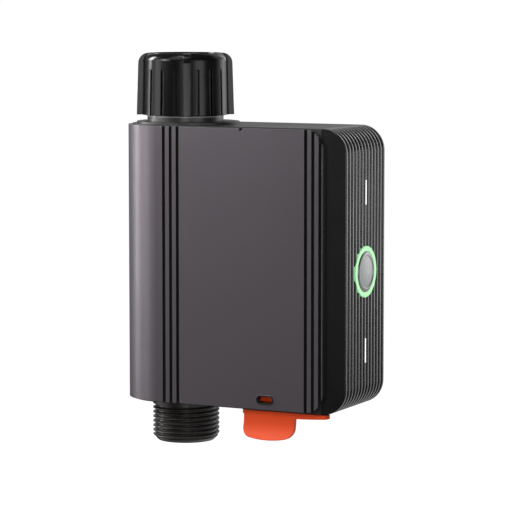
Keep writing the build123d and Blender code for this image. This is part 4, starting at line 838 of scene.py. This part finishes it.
# Matte paper. The camera sees it white with the object's shadow on it, and other rays as mid grey.
# In gloss it is bright behind the object, to the right and upwards, which shows the shape of the
# black plastic. The ranges are places on the paper in metres.
paper = bpy.data.materials.new("backdrop_paper_matte")
paper.use_nodes = True
tree = paper.node_tree
tree.nodes.clear()
rays = add_node(tree, "ShaderNodeLightPath")
matte = add_node(tree, "ShaderNodeBsdfDiffuse", inputs={"Color": linear("#8c8c8c")})
white = add_node(
    tree, "ShaderNodeEmission", inputs={"Color": linear("#ffffff"), "Strength": 0.97}
)
tint = add_node(tree, "ShaderNodeBsdfDiffuse", inputs={"Color": linear("#606060")})
seen = add_node(tree, "ShaderNodeAddShader", inputs={0: tint.outputs[0], 1: white.outputs[0]})
paper_place = add_node(tree, "ShaderNodeTexCoord").outputs["Object"]
spot = add_node(tree, "ShaderNodeSeparateXYZ", inputs={0: paper_place}).outputs
behind = add_node(
    tree,
    "ShaderNodeMapRange",
    inputs={"Value": spot["Y"], "From Min": -0.15, "From Max": 0.05},
).outputs[0]
upper = add_node(
    tree,
    "ShaderNodeMapRange",
    inputs={"Value": spot["Z"], "From Min": -0.15, "From Max": 0.1, "To Max": 0.6},
).outputs[0]
to_right = add_node(
    tree,
    "ShaderNodeMapRange",
    inputs={"Value": spot["X"], "From Min": -0.15, "From Max": 0.03},
).outputs[0]
brighter = add_node(
    tree, "ShaderNodeMath", {"operation": "MAXIMUM"}, {0: upper, 1: to_right}
).outputs[0]
brightness = add_node(
    tree, "ShaderNodeMath", {"operation": "MULTIPLY"}, {0: brighter, 1: behind}
).outputs[0]
in_gloss = add_node(tree, "ShaderNodeEmission", inputs={"Strength": brightness})
gloss_mix = add_node(
    tree,
    "ShaderNodeMixShader",
    inputs={0: rays.outputs["Is Glossy Ray"], 1: matte.outputs[0], 2: in_gloss.outputs[0]},
)
paper_mix = add_node(
    tree,
    "ShaderNodeMixShader",
    inputs={0: rays.outputs["Is Camera Ray"], 1: gloss_mix.outputs[0], 2: seen.outputs[0]},
)
add_node(tree, "ShaderNodeOutputMaterial", inputs={"Surface": paper_mix.outputs[0]})
stage_mesh.materials.append(paper)

# Room: dim light on the object, plain white to the camera
room_light = 0.14
scene = bpy.context.scene
world = bpy.data.worlds.new("studio_room")
scene.world = world
world.use_nodes = True
tree = world.node_tree
tree.nodes.clear()
rays = add_node(tree, "ShaderNodeLightPath")
room = add_node(
    tree, "ShaderNodeBackground", inputs={"Color": linear("#ffffff"), "Strength": room_light}
)
open_white = add_node(
    tree, "ShaderNodeBackground", inputs={"Color": linear("#ffffff"), "Strength": 1.0}
)
room_mix = add_node(
    tree,
    "ShaderNodeMixShader",
    inputs={0: rays.outputs["Is Camera Ray"], 1: room.outputs[0], 2: open_white.outputs[0]},
)
add_node(tree, "ShaderNodeOutputWorld", inputs={"Surface": room_mix.outputs[0]})

lamp_aim = Vector((0.03, 0.0, -0.064))


def soft_box(name, place, width, height, watts):
    """A rectangular area light turned towards the object, sizes in metres."""
    lamp = bpy.data.lights.new(name, "AREA")
    lamp.shape = "RECTANGLE"
    lamp.size, lamp.size_y = width, height
    lamp.energy = watts
    holder = bpy.data.objects.new(name, lamp)
    holder.location = place
    holder.rotation_euler = (lamp_aim - Vector(place)).to_track_quat("-Z", "Y").to_euler()
    scene.collection.objects.link(holder)


# Soft boxes, the strongest high on the left, for the lights down the round end and the nut
soft_box("left_soft_box", (-0.95, -0.12, 0.05), width=0.16, height=0.6, watts=3.8)
soft_box("left_high_soft_box", (-0.95, -0.12, 0.40), width=0.2, height=0.5, watts=12.0)
soft_box("left_front_soft_box", (-0.77, -0.59, 0.05), width=0.34, height=0.6, watts=2.5)
soft_box("near_left_soft_box", (-0.13, -0.22, 0.085), width=0.08, height=0.08, watts=0.37)
# Above the camera and on its right, for the grey side and the fins
soft_box("upper_soft_box", (-0.05, -1.0, 0.95), width=0.7, height=0.4, watts=4.0)
soft_box("camera_side_soft_box", (0.62, -1.2, -0.02), width=0.45, height=0.4, watts=3.0)
soft_box("right_soft_box", (0.95, -0.42, 0.0), width=0.5, height=0.35, watts=2.0)
# Fill for the back and the top
soft_box("right_rear_soft_box", (0.55, 0.95, -0.1), width=0.4, height=0.6, watts=1.5)
soft_box("rear_soft_box", (0.2, 1.0, 0.3), width=0.3, height=0.6, watts=0.9)
soft_box("overhead_soft_box", (0.0, -0.25, 0.9), width=0.3, height=0.3, watts=2.0)

# The ring's own glow on the fins round it
glow_lamp = bpy.data.lights.new("ring_glow", "AREA")
glow_lamp.shape = "DISK"
glow_lamp.size = 20 * MM
glow_lamp.color = (0.25, 1.0, 0.3)
glow_lamp.energy = 0.0002
glow_distance = 3 * MM
glow_holder = bpy.data.objects.new("ring_glow", glow_lamp)
glow_holder.location = (front_high.x + glow_distance, 0, button_z)
glow_holder.rotation_euler = Vector((-1, 0, 0)).to_track_quat("-Z", "Y").to_euler()
glow_holder.visible_camera = False
scene.collection.objects.link(glow_holder)

# Camera at the photograph's angle, fitted to the object's straight edges
camera_data = bpy.data.cameras.new("photo_camera")
camera_data.lens = 182.6
camera_data.sensor_width = 36.0
photo_camera = bpy.data.objects.new("photo_camera", camera_data)
photo_camera.location = (0.47556, -0.90755, 0.04023)
view_target = Vector((0.03095, 0.0, -0.0641))
photo_camera.rotation_euler = (
    (view_target - photo_camera.location).to_track_quat("-Z", "Y").to_euler()
)
scene.collection.objects.link(photo_camera)
scene.camera = photo_camera
scene.view_settings.view_transform = "Standard"
